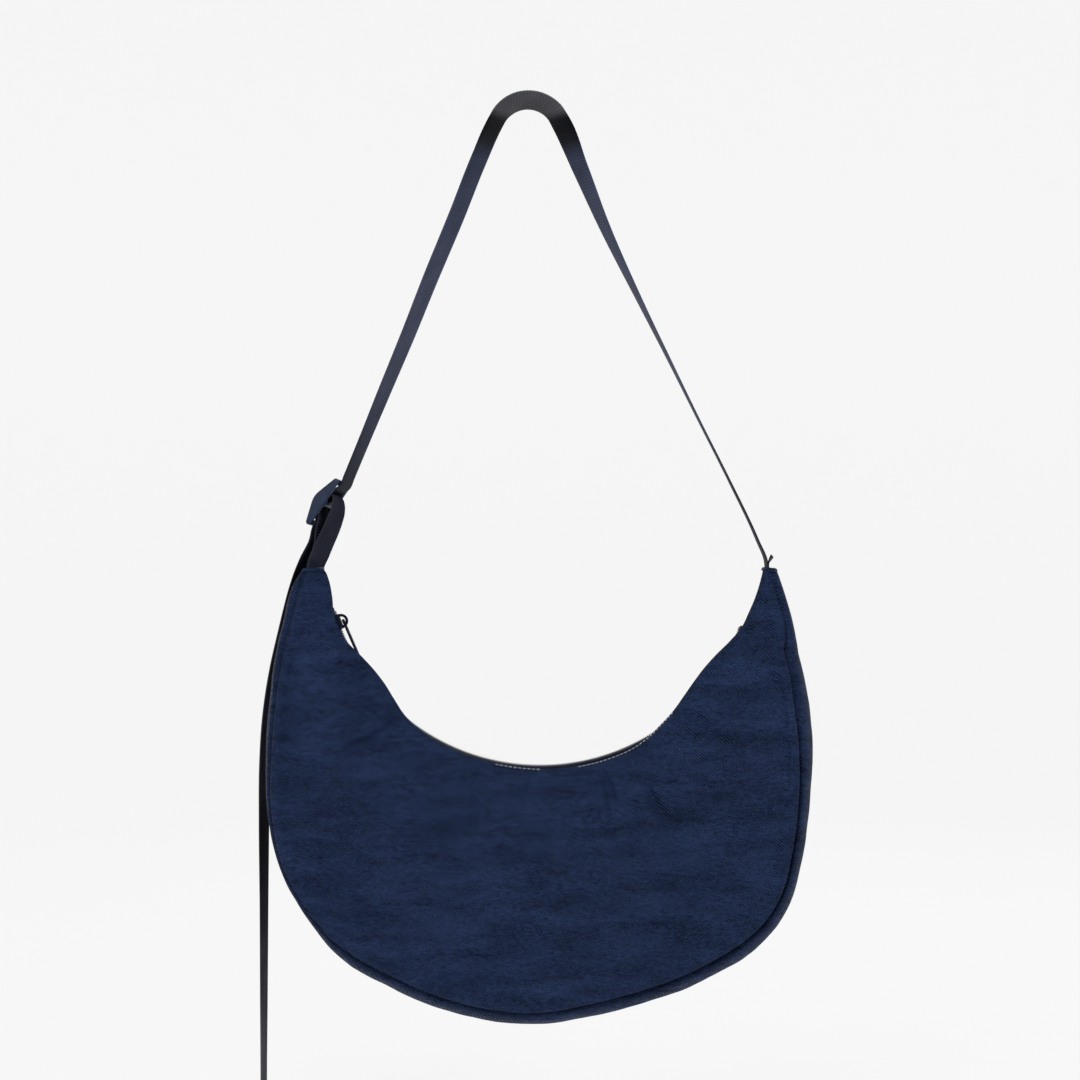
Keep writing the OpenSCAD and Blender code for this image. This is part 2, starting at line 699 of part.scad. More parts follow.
// Pull: a cross bar under the bail, two arms past its sides, and a flat tab
pull_pin_r = 0.9;
pull_lift = 1.65;
pull_tilt = 4.4;
arm_gap = 0.4;
arm_l = 8;
module zip_pull() {
    inner = bail_tube + arm_gap;
    arm_w = pull_w / 2 - inner;
    color("#141a2c") on_mouth(slider_a) translate([slider_top - pull_lift, 0, 0]) rotate([0, -pull_tilt, 0]) {
        rotate([90, 0, 0]) cylinder(r = pull_pin_r, h = 2 * inner + arm_w, center = true);
        for (m = [0, 1]) mirror([0, m, 0]) {
            translate([0, inner + arm_w, 0]) rotate([90, 0, 0]) cylinder(r = pull_t / 2, h = arm_w);
            translate([-pull_t / 2, inner, 0]) cube([pull_t, arm_w, arm_l]);
        }
        difference() {
            union() {
                translate([-pull_t / 2, -pull_w / 2, arm_l]) cube([pull_t, pull_w, pull_l - arm_l - pull_w / 2]);
                translate([-pull_t / 2, 0, pull_l - pull_w / 2]) rotate([0, 90, 0]) cylinder(r = pull_w / 2, h = pull_t);
            }
            translate([-pull_t / 2 - cut, 0, pull_l - pull_w / 2]) rotate([0, 90, 0])
                cylinder(r = pull_w / 4, h = pull_t + 2 * cut);
        }
    }
}

front_panel();
back_panel();
gusset_left();
gusset_right();
gusset_joint_binding();
seam_binding_front();
seam_binding_back();
inner_pocket();
pocket_hem_band();
zip_tape_front();
zip_tape_back();
zip_coil_front();
zip_coil_back();
zip_top_stops();
zip_bottom_stop();
zip_end_tab_left();
zip_end_tab_right();
tip_fold_left();
tip_fold_right();
zip_slider();
zip_slider_bail();
zip_pull();
strap();
strap_weave();
strap_tail();
strap_tail_hem();
strap_end_right();
anchor_loop();
adjuster();
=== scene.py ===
import math
import bpy
import bmesh
import numpy as np
from mathutils import Matrix, Vector, noise


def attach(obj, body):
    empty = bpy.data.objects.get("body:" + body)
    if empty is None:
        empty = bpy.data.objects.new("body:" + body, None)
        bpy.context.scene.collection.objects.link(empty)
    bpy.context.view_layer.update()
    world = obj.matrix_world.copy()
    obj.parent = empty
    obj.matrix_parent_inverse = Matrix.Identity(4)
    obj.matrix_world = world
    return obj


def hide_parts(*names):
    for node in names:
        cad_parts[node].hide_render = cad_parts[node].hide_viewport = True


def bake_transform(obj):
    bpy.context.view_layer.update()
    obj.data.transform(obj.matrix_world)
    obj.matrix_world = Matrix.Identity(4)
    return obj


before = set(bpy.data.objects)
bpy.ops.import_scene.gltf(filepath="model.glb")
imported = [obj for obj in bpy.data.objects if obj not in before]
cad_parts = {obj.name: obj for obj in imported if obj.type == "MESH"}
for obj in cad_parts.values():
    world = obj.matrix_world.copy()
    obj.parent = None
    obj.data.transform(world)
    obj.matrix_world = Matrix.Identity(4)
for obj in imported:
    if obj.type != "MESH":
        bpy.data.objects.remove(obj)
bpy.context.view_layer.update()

# sizes are in mm, and angles in degrees round the centre of the mouth's arc
mm = 0.001
cameraAway = 1840.0
scene = bpy.context.scene


# materials

def linear(hexColour):
    c = [int(hexColour[i:i + 2], 16) / 255 for i in (1, 3, 5)]
    return [v / 12.92 if v <= 0.04045 else ((v + 0.055) / 1.055) ** 2.4 for v in c] + [1]


def add(tree, kind, sockets=None, **settings):
    node = tree.nodes.new(kind)
    for key, value in settings.items():
        setattr(node, key, value)
    for key, value in (sockets or {}).items():
        if isinstance(value, bpy.types.NodeSocket):
            tree.links.new(value, node.inputs[key])
        else:
            node.inputs[key].default_value = value
    return node.outputs


def newMaterial(name):
    material = bpy.data.materials.new(name)
    material.use_nodes = True
    tree = material.node_tree
    tree.nodes.clear()
    return material, tree


def finishMaterial(tree, sockets):
    shader = add(tree, "ShaderNodeBsdfPrincipled", sockets)
    add(tree, "ShaderNodeOutputMaterial", {"Surface": shader["BSDF"]})


# object coordinates in millimetres
def inMillimetres(tree):
    place = add(tree, "ShaderNodeTexCoord")["Object"]
    return add(tree, "ShaderNodeVectorMath", {0: place, 1: (1 / mm,) * 3}, operation="MULTIPLY")["Vector"]


# cloudy patches, as a share from 0 to 1
def patches(tree, place, scale, detail, low, high):
    cloud = add(tree, "ShaderNodeTexNoise", {"Vector": place, "Scale": scale, "Detail": detail})["Fac"]
    return add(tree, "ShaderNodeMapRange", {"Value": cloud, "From Min": low, "From Max": high})["Result"]


def toneBetween(tree, share, deep, light):
    sockets = {0: share, 6: linear(deep), 7: linear(light)}
    return add(tree, "ShaderNodeMix", sockets, data_type="RGBA")[2]


def sineAcross(tree, socket, pitch):
    angle = add(tree, "ShaderNodeMath", {0: socket, 1: 2 * math.pi / pitch}, operation="MULTIPLY")[0]
    return add(tree, "ShaderNodeMath", {0: angle}, operation="SINE")[0]


# crinkled nylon, woven as a twill and heat-set: short sideways creases catch the light, slanting ribs
# give it a grain, and wide soft dents keep it from looking flat. A real rib of about 0.5 mm is too
# fine to show, so the ribs are drawn 1.5 mm apart.
def crinkledNylon():
    values = {"deep": "#070e1c", "light": "#2a3a5e", "long": 4.6, "high": 1.9, "soft": 22, "patch": 55,
              "rib": 1.5, "crinkleHeight": 0.36, "fineHeight": 0.13, "softHeight": 2.8, "ribHeight": 0.2,
              "crinkleTone": 0.36, "softTone": 0.34, "fineTone": 0.32, "ribTone": 0.22, "toneShift": -0.03}
    material, tree = newMaterial("crinkled nylon")
    place = inMillimetres(tree)
    drift = add(tree, "ShaderNodeTexNoise", {"Vector": place, "Scale": 0.045, "Detail": 1.0})["Color"]
    shift = add(tree, "ShaderNodeVectorMath", {0: drift, 1: (6, 6, 6)}, operation="MULTIPLY")["Vector"]
    warped = add(tree, "ShaderNodeVectorMath", {0: place, 1: shift}, operation="ADD")["Vector"]

    def stretched(across, up, detail):
        size = (1 / across, 0.45 / (across + up), 1 / up)
        spot = add(tree, "ShaderNodeVectorMath", {0: warped, 1: size}, operation="MULTIPLY")["Vector"]
        sockets = {"Vector": spot, "Scale": 1.0, "Detail": detail, "Roughness": 0.55, "Distortion": 0.15}
        cloud = add(tree, "ShaderNodeTexNoise", sockets)["Fac"]
        return add(tree, "ShaderNodeMapRange", {"Value": cloud, "From Min": 0.3, "From Max": 0.7})["Result"]

    def product(first, second, plus=0.0):
        return add(tree, "ShaderNodeMath", {0: first, 1: second, 2: plus}, operation="MULTIPLY_ADD")[0]

    crease = stretched(values["long"], values["high"], 2.0)
    fine = stretched(0.36 * values["long"], 0.4 * values["high"], 1.0)
    soft = stretched(2 * values["soft"], 0.55 * values["soft"], 3.0)
    patch = stretched(values["patch"], 0.6 * values["patch"], 1.0)
    lean = {0: place, 1: (0.7, 0.3, 0.7)}
    slant = add(tree, "ShaderNodeVectorMath", lean, operation="DOT_PRODUCT")["Value"]
    crinkle = product(crease, product(patch, 0.5, 0.5))
    fields = {"soft": soft, "crinkle": crinkle, "fine": fine, "rib": sineAcross(tree, slant, values["rib"])}
    shade = values["toneShift"]
    for key in ("rib", "fine", "soft", "crinkle"):
        shade = product(fields[key], values[key + "Tone"], shade)
    normal = None
    for key, field in fields.items():
        sockets = {"Height": field, "Distance": values[key + "Height"] * mm, "Strength": 0.9}
        if normal is not None:
            sockets["Normal"] = normal
        normal = add(tree, "ShaderNodeBump", sockets)["Normal"]
    rough = add(tree, "ShaderNodeMapRange", {"Value": crinkle, "To Min": 0.62, "To Max": 0.5})["Result"]
    finishMaterial(tree, {"Base Color": toneBetween(tree, shade, values["deep"], values["light"]),
                          "Roughness": rough, "Normal": normal, "Specular IOR Level": 0.045})
    return material


# painted light and shade by height: stops of z and tone, multiplied into the colour
def paintedLightByHeight(tree, place, colour, tones):
    up = add(tree, "ShaderNodeSeparateXYZ", {"Vector": place})["Z"]
    first, last = tones[0][0], tones[-1][0]
    share = add(tree, "ShaderNodeMapRange", {"Value": up, "From Min": first, "From Max": last})["Result"]
    band = add(tree, "ShaderNodeValToRGB", {"Fac": share})["Color"]
    stops = band.node.color_ramp.elements
    while len(stops) < len(tones):
        stops.new(1.0)
    for stop, (z, tone) in zip(stops, tones):
        stop.position = (z - first) / (last - first)
        stop.color = linear(tone)
    sockets = {0: 1.0, 6: colour, 7: band}
    return add(tree, "ShaderNodeMix", sockets, data_type="RGBA", blend_type="MULTIPLY")[2]


# woven tape or webbing: cords run along it and picks of thread cross them on the slant, so it looks
# ribbed and slightly fuzzy. The webbing's real picks of about 1.2 mm are drawn 2.2 mm apart to show.
def wovenTape(name, deep, light, cord, pick, height, tones=None, gloss=0.05):
    material, tree = newMaterial(name)
    split = add(tree, "ShaderNodeSeparateXYZ", {"Vector": add(tree, "ShaderNodeUVMap")["UV"]})
    lean = {0: split["X"], 1: 0.15, 2: split["Y"]}
    slant = add(tree, "ShaderNodeMath", lean, operation="MULTIPLY_ADD")[0]
    cords, picks = sineAcross(tree, split["X"], cord), sineAcross(tree, slant, pick)
    weave = add(tree, "ShaderNodeMath", {0: cords, 1: 0.35, 2: picks}, operation="MULTIPLY_ADD")[0]
    place = inMillimetres(tree)
    share = add(tree, "ShaderNodeMapRange", {"Value": weave, "From Min": -1.35, "From Max": 1.35})["Result"]
    worn = {0: share, 1: 0.42, 2: patches(tree, place, 0.05, 2.0, 0.2, 1.2)}
    shade = add(tree, "ShaderNodeMath", worn, operation="MULTIPLY_ADD")[0]
    colour = toneBetween(tree, shade, deep, light)
    # tones by height, when given, multiply painted light and shade into the colour
    if tones:
        colour = paintedLightByHeight(tree, place, colour, tones)
    fuzz = add(tree, "ShaderNodeTexNoise", {"Vector": place, "Scale": 1.6, "Detail": 3.0})["Fac"]
    ribs = {"Height": weave, "Distance": height * mm, "Strength": 0.8}
    sockets = {"Height": fuzz, "Distance": 0.05 * mm, "Strength": 0.6,
               "Normal": add(tree, "ShaderNodeBump", ribs)["Normal"]}
    normal = add(tree, "ShaderNodeBump", sockets)["Normal"]
    finishMaterial(tree, {"Base Color": colour, "Roughness": 0.6, "Normal": normal,
                          "Specular IOR Level": gloss})
    return material


# moulded, enamelled, drawn or spun surfaces: an even colour with a slight haze and grain, so their
# highlights are soft and a little broken
def moulded(name, deep, light, roughness, grain, metallic=0.0, specular=0.2):
    material, tree = newMaterial(name)
    place = inMillimetres(tree)
    speck = add(tree, "ShaderNodeTexNoise", {"Vector": place, "Scale": 1.1, "Detail": 4.0})["Fac"]
    colour = toneBetween(tree, patches(tree, place, 0.12, 2.0, 0.3, 0.7), deep, light)
    sockets = {"Value": speck, "To Min": roughness - 0.06, "To Max": roughness + 0.06}
    rough = add(tree, "ShaderNodeMapRange", sockets)["Result"]
    bump = add(tree, "ShaderNodeBump", {"Height": speck, "Distance": grain * mm, "Strength": 0.5})["Normal"]
    finishMaterial(tree, {"Base Color": colour, "Roughness": rough, "Normal": bump, "Metallic": metallic,
                          "Specular IOR Level": specular})
    return material


nylon = crinkledNylon()
# painted shade on the webbing near the adjuster and at the bend's shoulders, painted highlight atop the
# bend
webbingPaintedLight = [
    (-350, "#353847"), (-330, "#383b4b"), (-285, "#424657"), (-262, "#75777d"), (-240, "#92949a"),
    (-210, "#bfbfc2"), (-150, "#d2d0d2"), (-85, "#c8cad0"), (-42, "#a8acb6"), (-29, "#46464c"),
    (-20, "#24242a"), (-13, "#363638"), (-7, "#ffe9c4"), (10, "#fff0d2"),
]
# the same for the loop and the free tail: painted shade, nearly black behind the bag, and painted light
# towards the tail's end
tailPaintedLightAndShade = [
    (-740, "#f0e4c4"), (-690, "#e8dcbc"), (-650, "#bcb29c"), (-600, "#9c9484"), (-565, "#8a8272"),
    (-530, "#887c6c"), (-500, "#b4a896"), (-440, "#b4aa9c"), (-380, "#ac9f8e"), (-340, "#968f88"),
    (-285, "#968f88"), (-262, "#75777d"),
]
# nylon webbing, woven on a needle loom: bold ribs with a faint shine, and the painted light and shade above
webbingCloth = wovenTape("ribbed nylon webbing", "#3c4257", "#5c647e", 4.2, 2.2, 0.12, webbingPaintedLight)
# the same webbing with the bag's shade painted into its colour, and no shine
shadedWebbingCloth = wovenTape("nylon webbing with painted shade", "#3c4257", "#5c647e", 4.2, 2.2, 0.12, tailPaintedLightAndShade, gloss=0.0)
# polyester tape, woven: nearly black, with a fine even rib
tapeCloth = wovenTape("woven zip tape", "#090d19", "#141a30", 1.1, 0.7, 0.05)
bindingCloth = wovenTape("woven binding tape", "#0a0e1a", "#151b2e", 1.2, 0.8, 0.05)
# nylon filament, drawn: dark, and smooth enough for a narrow glint on each turn
coilNylon = moulded("nylon filament", "#0a0d18", "#12172a", 0.45, 0.02)
# acetal, injection moulded in a satin mould: blue-grey, with broad soft highlights
satinPlastic = moulded("satin moulded plastic", "#1b253b", "#252f43", 0.42, 0.03)
# zinc, die-cast and enamelled: nearly black, with hardly any shine
darkEnamel = moulded("dark enamelled zinc", "#090c17", "#10142a", 0.5, 0.015, specular=0.06)
# aluminium, crimped from strip: plain grey metal
plainAlloy = moulded("crimped aluminium", "#5d5f66", "#76787f", 0.42, 0.03, metallic=0.9)
# polyester thread, spun: matt, one in the cloth's own tone, and a pale one that paints the highlight along
# the lip's folded edge
sewingThread = moulded("sewing thread", "#10172b", "#1a2440", 0.6, 0.05)
edgeHighlightThread = moulded("pale thread for a painted edge highlight", "#8d8f97", "#a6a8ae", 0.6, 0.05)
print("materials made")


# curves, grids and meshes

# a smooth curve through rows of place and value
def curve(rows, x):
    rows = np.array(rows, float)
    t, v = rows[:, 0], rows[:, 1]
    slope = np.gradient(v, t)
    x = np.clip(np.asarray(x, float), t[0], t[-1])
    i = np.clip(np.searchsorted(t, x, side="right") - 1, 0, len(t) - 2)
    h = t[i + 1] - t[i]
    k = (x - t[i]) / h
    a, b, m, q = v[i], v[i + 1], slope[i] * h, slope[i + 1] * h
    return a + k * (m + k * (3 * (b - a) - 2 * m - q + k * (2 * (a - b) + m + q)))


def ease(k):
    c = np.clip(k, 0, 1)
    return c * c * (3 - 2 * c)


def unit(v):
    v = np.asarray(v, float)
    return v / np.maximum(np.linalg.norm(v, axis=-1, keepdims=True), 1e-9)


# the same path with its points evenly spaced
def smoothPath(points, step):
    p = np.array(points, float)
    chord = np.r_[0, np.cumsum(np.linalg.norm(np.diff(p[:, :3], axis=0), axis=1))]
    t = np.linspace(0, chord[-1], int(chord[-1] / (0.25 * step)) + 2)
    dense = np.stack([curve(np.c_[chord, p[:, k]], t) for k in range(p.shape[1])], axis=1)
    length = np.r_[0, np.cumsum(np.linalg.norm(np.diff(dense[:, :3], axis=0), axis=1))]
    even = np.linspace(0, length[-1], int(length[-1] / step) + 2)
    return np.stack([np.interp(even, length, dense[:, k]) for k in range(p.shape[1])], axis=1)


def newObject(name, verts, faces, uv=None, edges=()):
    mesh = bpy.data.meshes.new(name)
    places = [tuple(v) for v in np.asarray(verts, float) * mm]
    mesh.from_pydata(places, edges, [tuple(int(i) for i in f) for f in faces])
    if uv is not None:
        layer = mesh.uv_layers.new(name="UVMap")
        index = np.zeros(len(mesh.loops), np.int32)
        mesh.loops.foreach_get("vertex_index", index)
        layer.data.foreach_set("uv", np.asarray(uv, np.float32)[index].ravel())
    mesh.update()
    obj = bpy.data.objects.new(name, mesh)
    scene.collection.objects.link(obj)
    return obj


def fromBmesh(name, bm):
    mesh = bpy.data.meshes.new(name)
    bm.to_mesh(mesh)
    bm.free()
    obj = bpy.data.objects.new(name, mesh)
    scene.collection.objects.link(obj)
    return obj


def gridFaces(rows, cols, closed=False):
    i, j = np.meshgrid(np.arange(rows - 1), np.arange(cols if closed else cols - 1), indexing="ij")
    k = (j + 1) % cols
    corners = [i * cols + j, i * cols + k, (i + 1) * cols + k, (i + 1) * cols + j]
    return np.stack(corners, axis=-1).reshape(-1, 4)


# rings of points along a path, closed at both ends
def tubeFaces(rings, sides):
    return [*gridFaces(rings, sides, True), list(range(sides))[::-1],
            [(rings - 1) * sides + k for k in range(sides)]]


# cloth from a grid of points, with its flat sizes in mm as UV
def gridObject(name, points):
    rows, cols = points.shape[:2]
    across = np.cumsum(np.linalg.norm(np.diff(points, axis=1), axis=2), axis=1)
    along = np.cumsum(np.linalg.norm(np.diff(points, axis=0), axis=2), axis=0)
    across = np.concatenate([np.zeros((rows, 1)), across], axis=1)
    along = np.concatenate([np.zeros((1, cols)), along], axis=0)
    uv = np.stack([across, along], axis=-1).reshape(-1, 2)
    return newObject(name, points.reshape(-1, 3), gridFaces(rows, cols), uv)


def bake(obj):
    graph = bpy.context.evaluated_depsgraph_get()
    mesh = bpy.data.meshes.new_from_object(obj.evaluated_get(graph))
    obj.modifiers.clear()
    obj.data = mesh
    return obj


def smooth(obj, angle=None):
    obj.data.polygons.foreach_set("use_smooth", [True] * len(obj.data.polygons))
    if angle is not None:
        obj.data.set_sharp_from_angle(angle=math.radians(angle))
    return obj


def clothPiece(obj, thickness, levels=1):
    if levels:
        division = obj.modifiers.new("division", "SUBSURF")
        division.levels = division.render_levels = levels
        division.boundary_smooth = "PRESERVE_CORNERS"
    shell = obj.modifiers.new("thickness", "SOLIDIFY")
    shell.thickness = thickness * mm
    shell.offset = -1
    return smooth(bake(obj), 60)


def dress(obj, material, body, slotName, *nodes):
    obj.data.materials.clear()
    obj.data.materials.append(material)
    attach(obj, body)
    if nodes:
        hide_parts(*nodes)
    return obj


# the shell: sections in planes through the axis of the mouth's arc

# "outer" and "mouth" are radii of the outer edge and of the mouth's lip by angle, "strip" is how far
# the seam lies inside the outer edge, and "dive" and "roll" are the depths of the seam's groove and roll
shell = {
    "centre": (8.6, 0.0, -325.0), "from": 184.2, "to": 355.8, "rows": 180, "joint": 0.494,
    "tipDepth": 31.0, "depth": 70.0, "mouthWidth": 17.0, "belly": 0.12, "backLift": 0.8, "cloth": 0.9,
    "roll": [[184, 1.1], [228, 1.3], [246, 2.6], [356, 2.6]],
    "dive": [
        [184, 2.4], [192, 4.6], [226, 4.6], [236, 3.6], [246, 6.2], [262, 6.8], [344, 6.8], [351, 4.5],
        [356, 2.2],
    ],
    "outer": [
        [184, 170.9], [186, 176], [194.9, 191.2], [202.4, 206.4], [210.6, 226.5], [217.2, 246.7],
        [224.6, 273.2], [231.5, 295.6], [235.4, 305.2], [239.5, 315], [243, 322.6], [246.2, 326.6],
        [250, 329.4], [257.7, 335], [265, 338.4], [270.9, 338.1], [275, 335.4], [280.5, 332.6],
        [287.8, 330.2], [293.9, 327.3], [298.6, 324], [303.1, 316.2], [307.1, 303.6], [308.9, 296],
        [314.1, 275.6], [317.4, 263.2], [321.6, 249.2], [325.6, 236.8], [332.2, 217.3], [337.5, 202.7],
        [344.4, 188.9], [350.6, 178.3], [356, 170.2],
    ],
    "strip": [
        [184, 2.4], [188, 5.4], [192, 6], [204, 6.4], [210, 6.6], [216, 6.4], [222, 5.7], [234, 5.3],
        [239, 6.9], [244, 10.4], [250, 12.1], [257, 12.9], [271, 13.5], [286, 14.2], [299, 14.4],
        [312, 13.8], [318, 14], [330, 15.8], [334, 14.3], [338, 13.7], [340.5, 10.6], [343, 8.3],
        [346.5, 6.9], [350, 6.3], [353, 5.2], [356, 3.4],
    ],
    "mouth": [
        [184, 157.6], [185.2, 155.2], [187, 153.8], [192, 153.2], [197.6, 155.4], [201, 154.9],
        [204.5, 153.4], [210.5, 148.7], [215, 146.7], [220, 146.6], [225, 149], [230, 152.4],
        [235, 154.2], [240, 155], [246, 155.2], [256, 155.5], [264, 155.6], [271, 156], [279, 156.4],
        [288, 156.4], [295, 156], [300, 154.4], [305, 151.6], [310, 149.3], [315, 146.6], [320, 144.9],
        [325, 144.8], [330, 146.9], [335, 151.1], [340, 155.2], [344, 156.6], [348, 158.4],
        [351, 159.6], [356, 161.5],
    ],
}
mouthCentre = np.array(shell["centre"])


def lineAt(key, theta):
    if key == "seam":
        return curve(shell["outer"], theta) - curve(shell["strip"], theta)
    return curve(shell[key], theta)


def nearTip(theta):
    u = (np.asarray(theta, float) - shell["from"]) / (shell["to"] - shell["from"])
    return np.minimum(u, 1 - u)


# half of the bag's depth at the seam and at the mouth's lip
def seamHalf(theta):
    tip, full = shell["tipDepth"], shell["depth"]
    return 0.5 * (tip + (full - tip) * ease(nearTip(theta) / 0.24))


def lipHalf(theta):
    tip, full = shell["tipDepth"], shell["mouthWidth"]
    return 0.5 * (tip + (full - tip) * ease(nearTip(theta) / 0.055))


def polar(theta, r, y):
    a = np.radians(theta)
    x, z = mouthCentre[0] + r * np.cos(a), mouthCentre[2] + r * np.sin(a)
    return np.stack(np.broadcast_arrays(x, mouthCentre[1] + y, z), axis=-1)


# shares across the gusset and from the mouth to the seam, closer together near the seams
gussetHalf = np.array([0.06, 0.18, 0.3, 0.42, 0.54, 0.64, 0.73, 0.8, 0.86, 0.9, 0.935, 0.965, 0.985])
gussetShares = np.r_[-gussetHalf[::-1], gussetHalf]
panelShares = np.r_[0, 0.012, 0.03, 0.055, np.linspace(0.08, 0.93, 44),
                    0.944, 0.956, 0.966, 0.975, 0.983, 0.99, 0.996, 1]


# soft folds that hang from the mouth: angle, height and width
def gather(theta, v, side):
    folds = [(223, 0.5, 1.2), (233, 0.4, 1.6), (246, 0.4, 1.3), (259, 0.5, 1.3), (268, 0.6, 1.0),
             (275, 0.6, 1.3), (281, 0.6, 0.9), (291, 0.6, 1.3), (302, 0.7, 1.7), (312, 0.5, 1.4),
             (323, 0.4, 1.3)]
    total = np.zeros(np.broadcast(theta, v).shape)
    for k, (angle, height, width) in enumerate(folds):
        lean = 6 * math.sin(2.3 * k + side) * v
        across = np.exp(-((theta - angle - lean) / (1.5 * width)) ** 2)
        total = total - height * across * np.exp(-(v / 0.3) ** 2)
    return total


# short creases that run into the seam where its line curves most
def pucker(theta, distance, side):
    wave = np.sin(np.radians(theta) * 62 + 3 * np.sin(np.radians(theta) * 9 + side))
    strong = 0.25 + 1.4 * np.exp(-((theta - 246) / 15) ** 2) + 0.5 * np.exp(-((theta - 296) / 10) ** 2)
    return 0.8 * wave * strong * np.exp(-(distance / 9) ** 2) * ease(distance / 4)


def crumple(points, scale, height, seed):
    flat = points.reshape(-1, 3)
    out = [noise.fractal(Vector(p / scale) + Vector((seed, 0, 0)), 0.9, 2.1, 4) for p in flat]
    return height * np.array(out).reshape(points.shape[:-1])


def radialOut(points):
    away = points - mouthCentre
    away[..., 1] = 0
    return unit(away)


# front panel, gusset and back panel as one grid; each lip is set for its own distance from the camera
def shellGrid():
    theta = np.linspace(shell["from"], shell["to"], shell["rows"])[:, None]
    mouth, seam, outer = (lineAt(k, theta) for k in ("mouth", "seam", "outer"))
    half, edge = seamHalf(theta), lipHalf(theta)
    v = panelShares[None, :]
    swell = shell["belly"] * (half - edge) * np.sin(math.pi * v)
    y = edge + (half - edge) * np.sin(0.5 * math.pi * v) + swell
    w = gussetShares[None, :]
    grow = ease(nearTip(theta) / 0.1)
    middle = polar(theta, seam + (outer - seam) * (1 - np.abs(w) ** 2.4), w * half)
    rumple = grow * crumple(middle, 30, 0.7, 11) * ease((1 - np.abs(w)) * half / 8)
    middle = middle + rumple[..., None] * radialOut(middle)
    sides = []
    for side in (-1, 1):
        lip = mouth * (1 + side * edge / cameraAway) + (shell["backLift"] if side > 0 else 0)
        points = polar(theta, lip + (seam - lip) * v, side * y)
        away = unit(np.cross(np.gradient(points, axis=1), np.gradient(points, axis=0))) * (-side)
        rumple = gather(theta, v, side) + crumple(points, 46, 1.3, 7 + side)
        push = grow * (rumple + crumple(points, 17, 0.4, 3 + side))
        fade = push * ease(v / 0.04) * ease((seam - lip) * (1 - v) / 6)
        sides.append(points + away * fade[..., None])
    return np.concatenate([sides[0], middle, sides[1][:, ::-1]], axis=1)


# the cloth settles under its own weight with its seams and lips held
def simulate(points):
    rows, cols = points.shape[:2]
    values = {"frames": 20, "spread": -0.02, "hold": 0.04, "tipHold": 0.4, "reach": 4.5, "calm": 0.22}
    obj = newObject("settlingCloth", points.reshape(-1, 3), gridFaces(rows, cols))
    hold = np.full((rows, cols), values["hold"])
    n, g = len(panelShares), len(gussetShares)
    hold[:9] = hold[-9:] = values["tipHold"]
    hold[:, n - 1:n + g + 1] = 1
    hold[:, :3] = hold[:, -3:] = 1
    hold[:4] = hold[-4:] = 1
    group = obj.vertex_groups.new(name="hold")
    for weight in np.unique(hold):
        group.add(np.flatnonzero(hold.ravel() == weight).tolist(), float(weight), "REPLACE")
    cloth = obj.modifiers.new("cloth", "CLOTH")
    s = cloth.settings
    s.quality = 5
    s.mass = 0.0002
    s.vertex_group_mass = "hold"
    s.pin_stiffness = 2.0
    s.tension_stiffness = s.compression_stiffness = 22
    s.shear_stiffness = 8
    s.bending_stiffness = 0.6
    s.tension_damping = s.compression_damping = 8
    s.air_damping = 4
    s.shrink_min = values["spread"]
    cloth.collision_settings.use_collision = False
    scene.frame_start, scene.frame_end = 1, values["frames"]
    cloth.point_cache.frame_end = values["frames"]
    for f in range(1, values["frames"] + 1):
        scene.frame_set(f)
    graph = bpy.context.evaluated_depsgraph_get()
    settled = obj.evaluated_get(graph).data
    co = np.zeros(len(settled.vertices) * 3)
    settled.vertices.foreach_get("co", co)
    scene.frame_set(1)
    bpy.data.objects.remove(obj)
    moved = co.reshape(rows, cols, 3) / mm - points
    far = np.linalg.norm(moved, axis=2, keepdims=True)
    print("cloth moved, mm: mean", round(float(far.mean()), 2), "most", round(float(far.max()), 2))
    calm = ease((1 - panelShares) / values["calm"])
    free = np.r_[calm, np.zeros(g), calm[::-1]][None, :, None]
    return points + moved * free * np.minimum(1, values["reach"] / np.maximum(far, 1e-6))


# folds of the front panel: x and z of both ends, depth, width and bend sideways
frontFolds = [
    (-126, -465, -91, -444, 3.8, 4.4, 2), (-131, -425, -112, -434, 2.2, 3.4, 0),
    (-103, -425, -40, -474, 1.5, 5.5, -5), (-146, -380, -119, -396, 1.3, 3.2, 1),
    (-140, -402, -118, -412, 1.3, 2.9, 1), (-150, -440, -128, -446, 1.5, 4.4, 0),
    (-36, -486, -30, -520, 1.2, 4.1, 1), (0, -492, 2, -530, 1.1, 4.1, 0),
    (30, -490, 34, -522, 1.3, 4.1, 1), (55, -484, 61, -508, 3.4, 3.3, 0),
    (82, -484, 98, -514, 3.6, 3.9, 2), (72, -504, 87, -542, 2.5, 5.5, 2),
    (118, -438, 142, -463, 2.7, 3.9, 1), (107, -452, 136, -461, 2.5, 3.7, 1),
    (133, -400, 158, -392, 1.3, 3.9, 0), (-102, -499, -56, -510, 1.9, 6.1, 2),
    (12, -546, 44, -570, 2.2, 6.1, 2), (104, -560, 158, -574, 2.1, 6.1, 2),
    (-96, -540, -50, -552, 1.6, 6.7, 2), (34, -600, 96, -592, 1.7, 6.7, 2),
    (-120, -590, -92, -572, 1.7, 5.6, 1), (-108, -610, -82, -622, 2.5, 3.9, 1),
    (-90, -600, -78, -620, 1.9, 3.4, 0), (-60, -620, -52, -636, 1.9, 3.4, 0),
    (-36, -628, -30, -640, 1.6, 2.9, 0), (-68, -604, -58, -622, 1.5, 3.4, 0),
    (150, -500, 165, -520, 1.7, 4.6, 1),
]
backFolds = [(14 - x0, z0 - 6, 9 - x1, z1 - 3, *rest) for x0, z0, x1, z1, *rest in frontFolds[::-1]]


# a point added between each two, on a smooth line
def denser(points):
    before, after = np.concatenate([points[:1], points[:-2]]), np.concatenate([points[2:], points[-1:]])
    out = np.empty((2 * len(points) - 1, *points.shape[1:]))
    out[::2], out[1::2] = points, (9 * (points[:-1] + points[1:]) - before - after) / 16
    return out


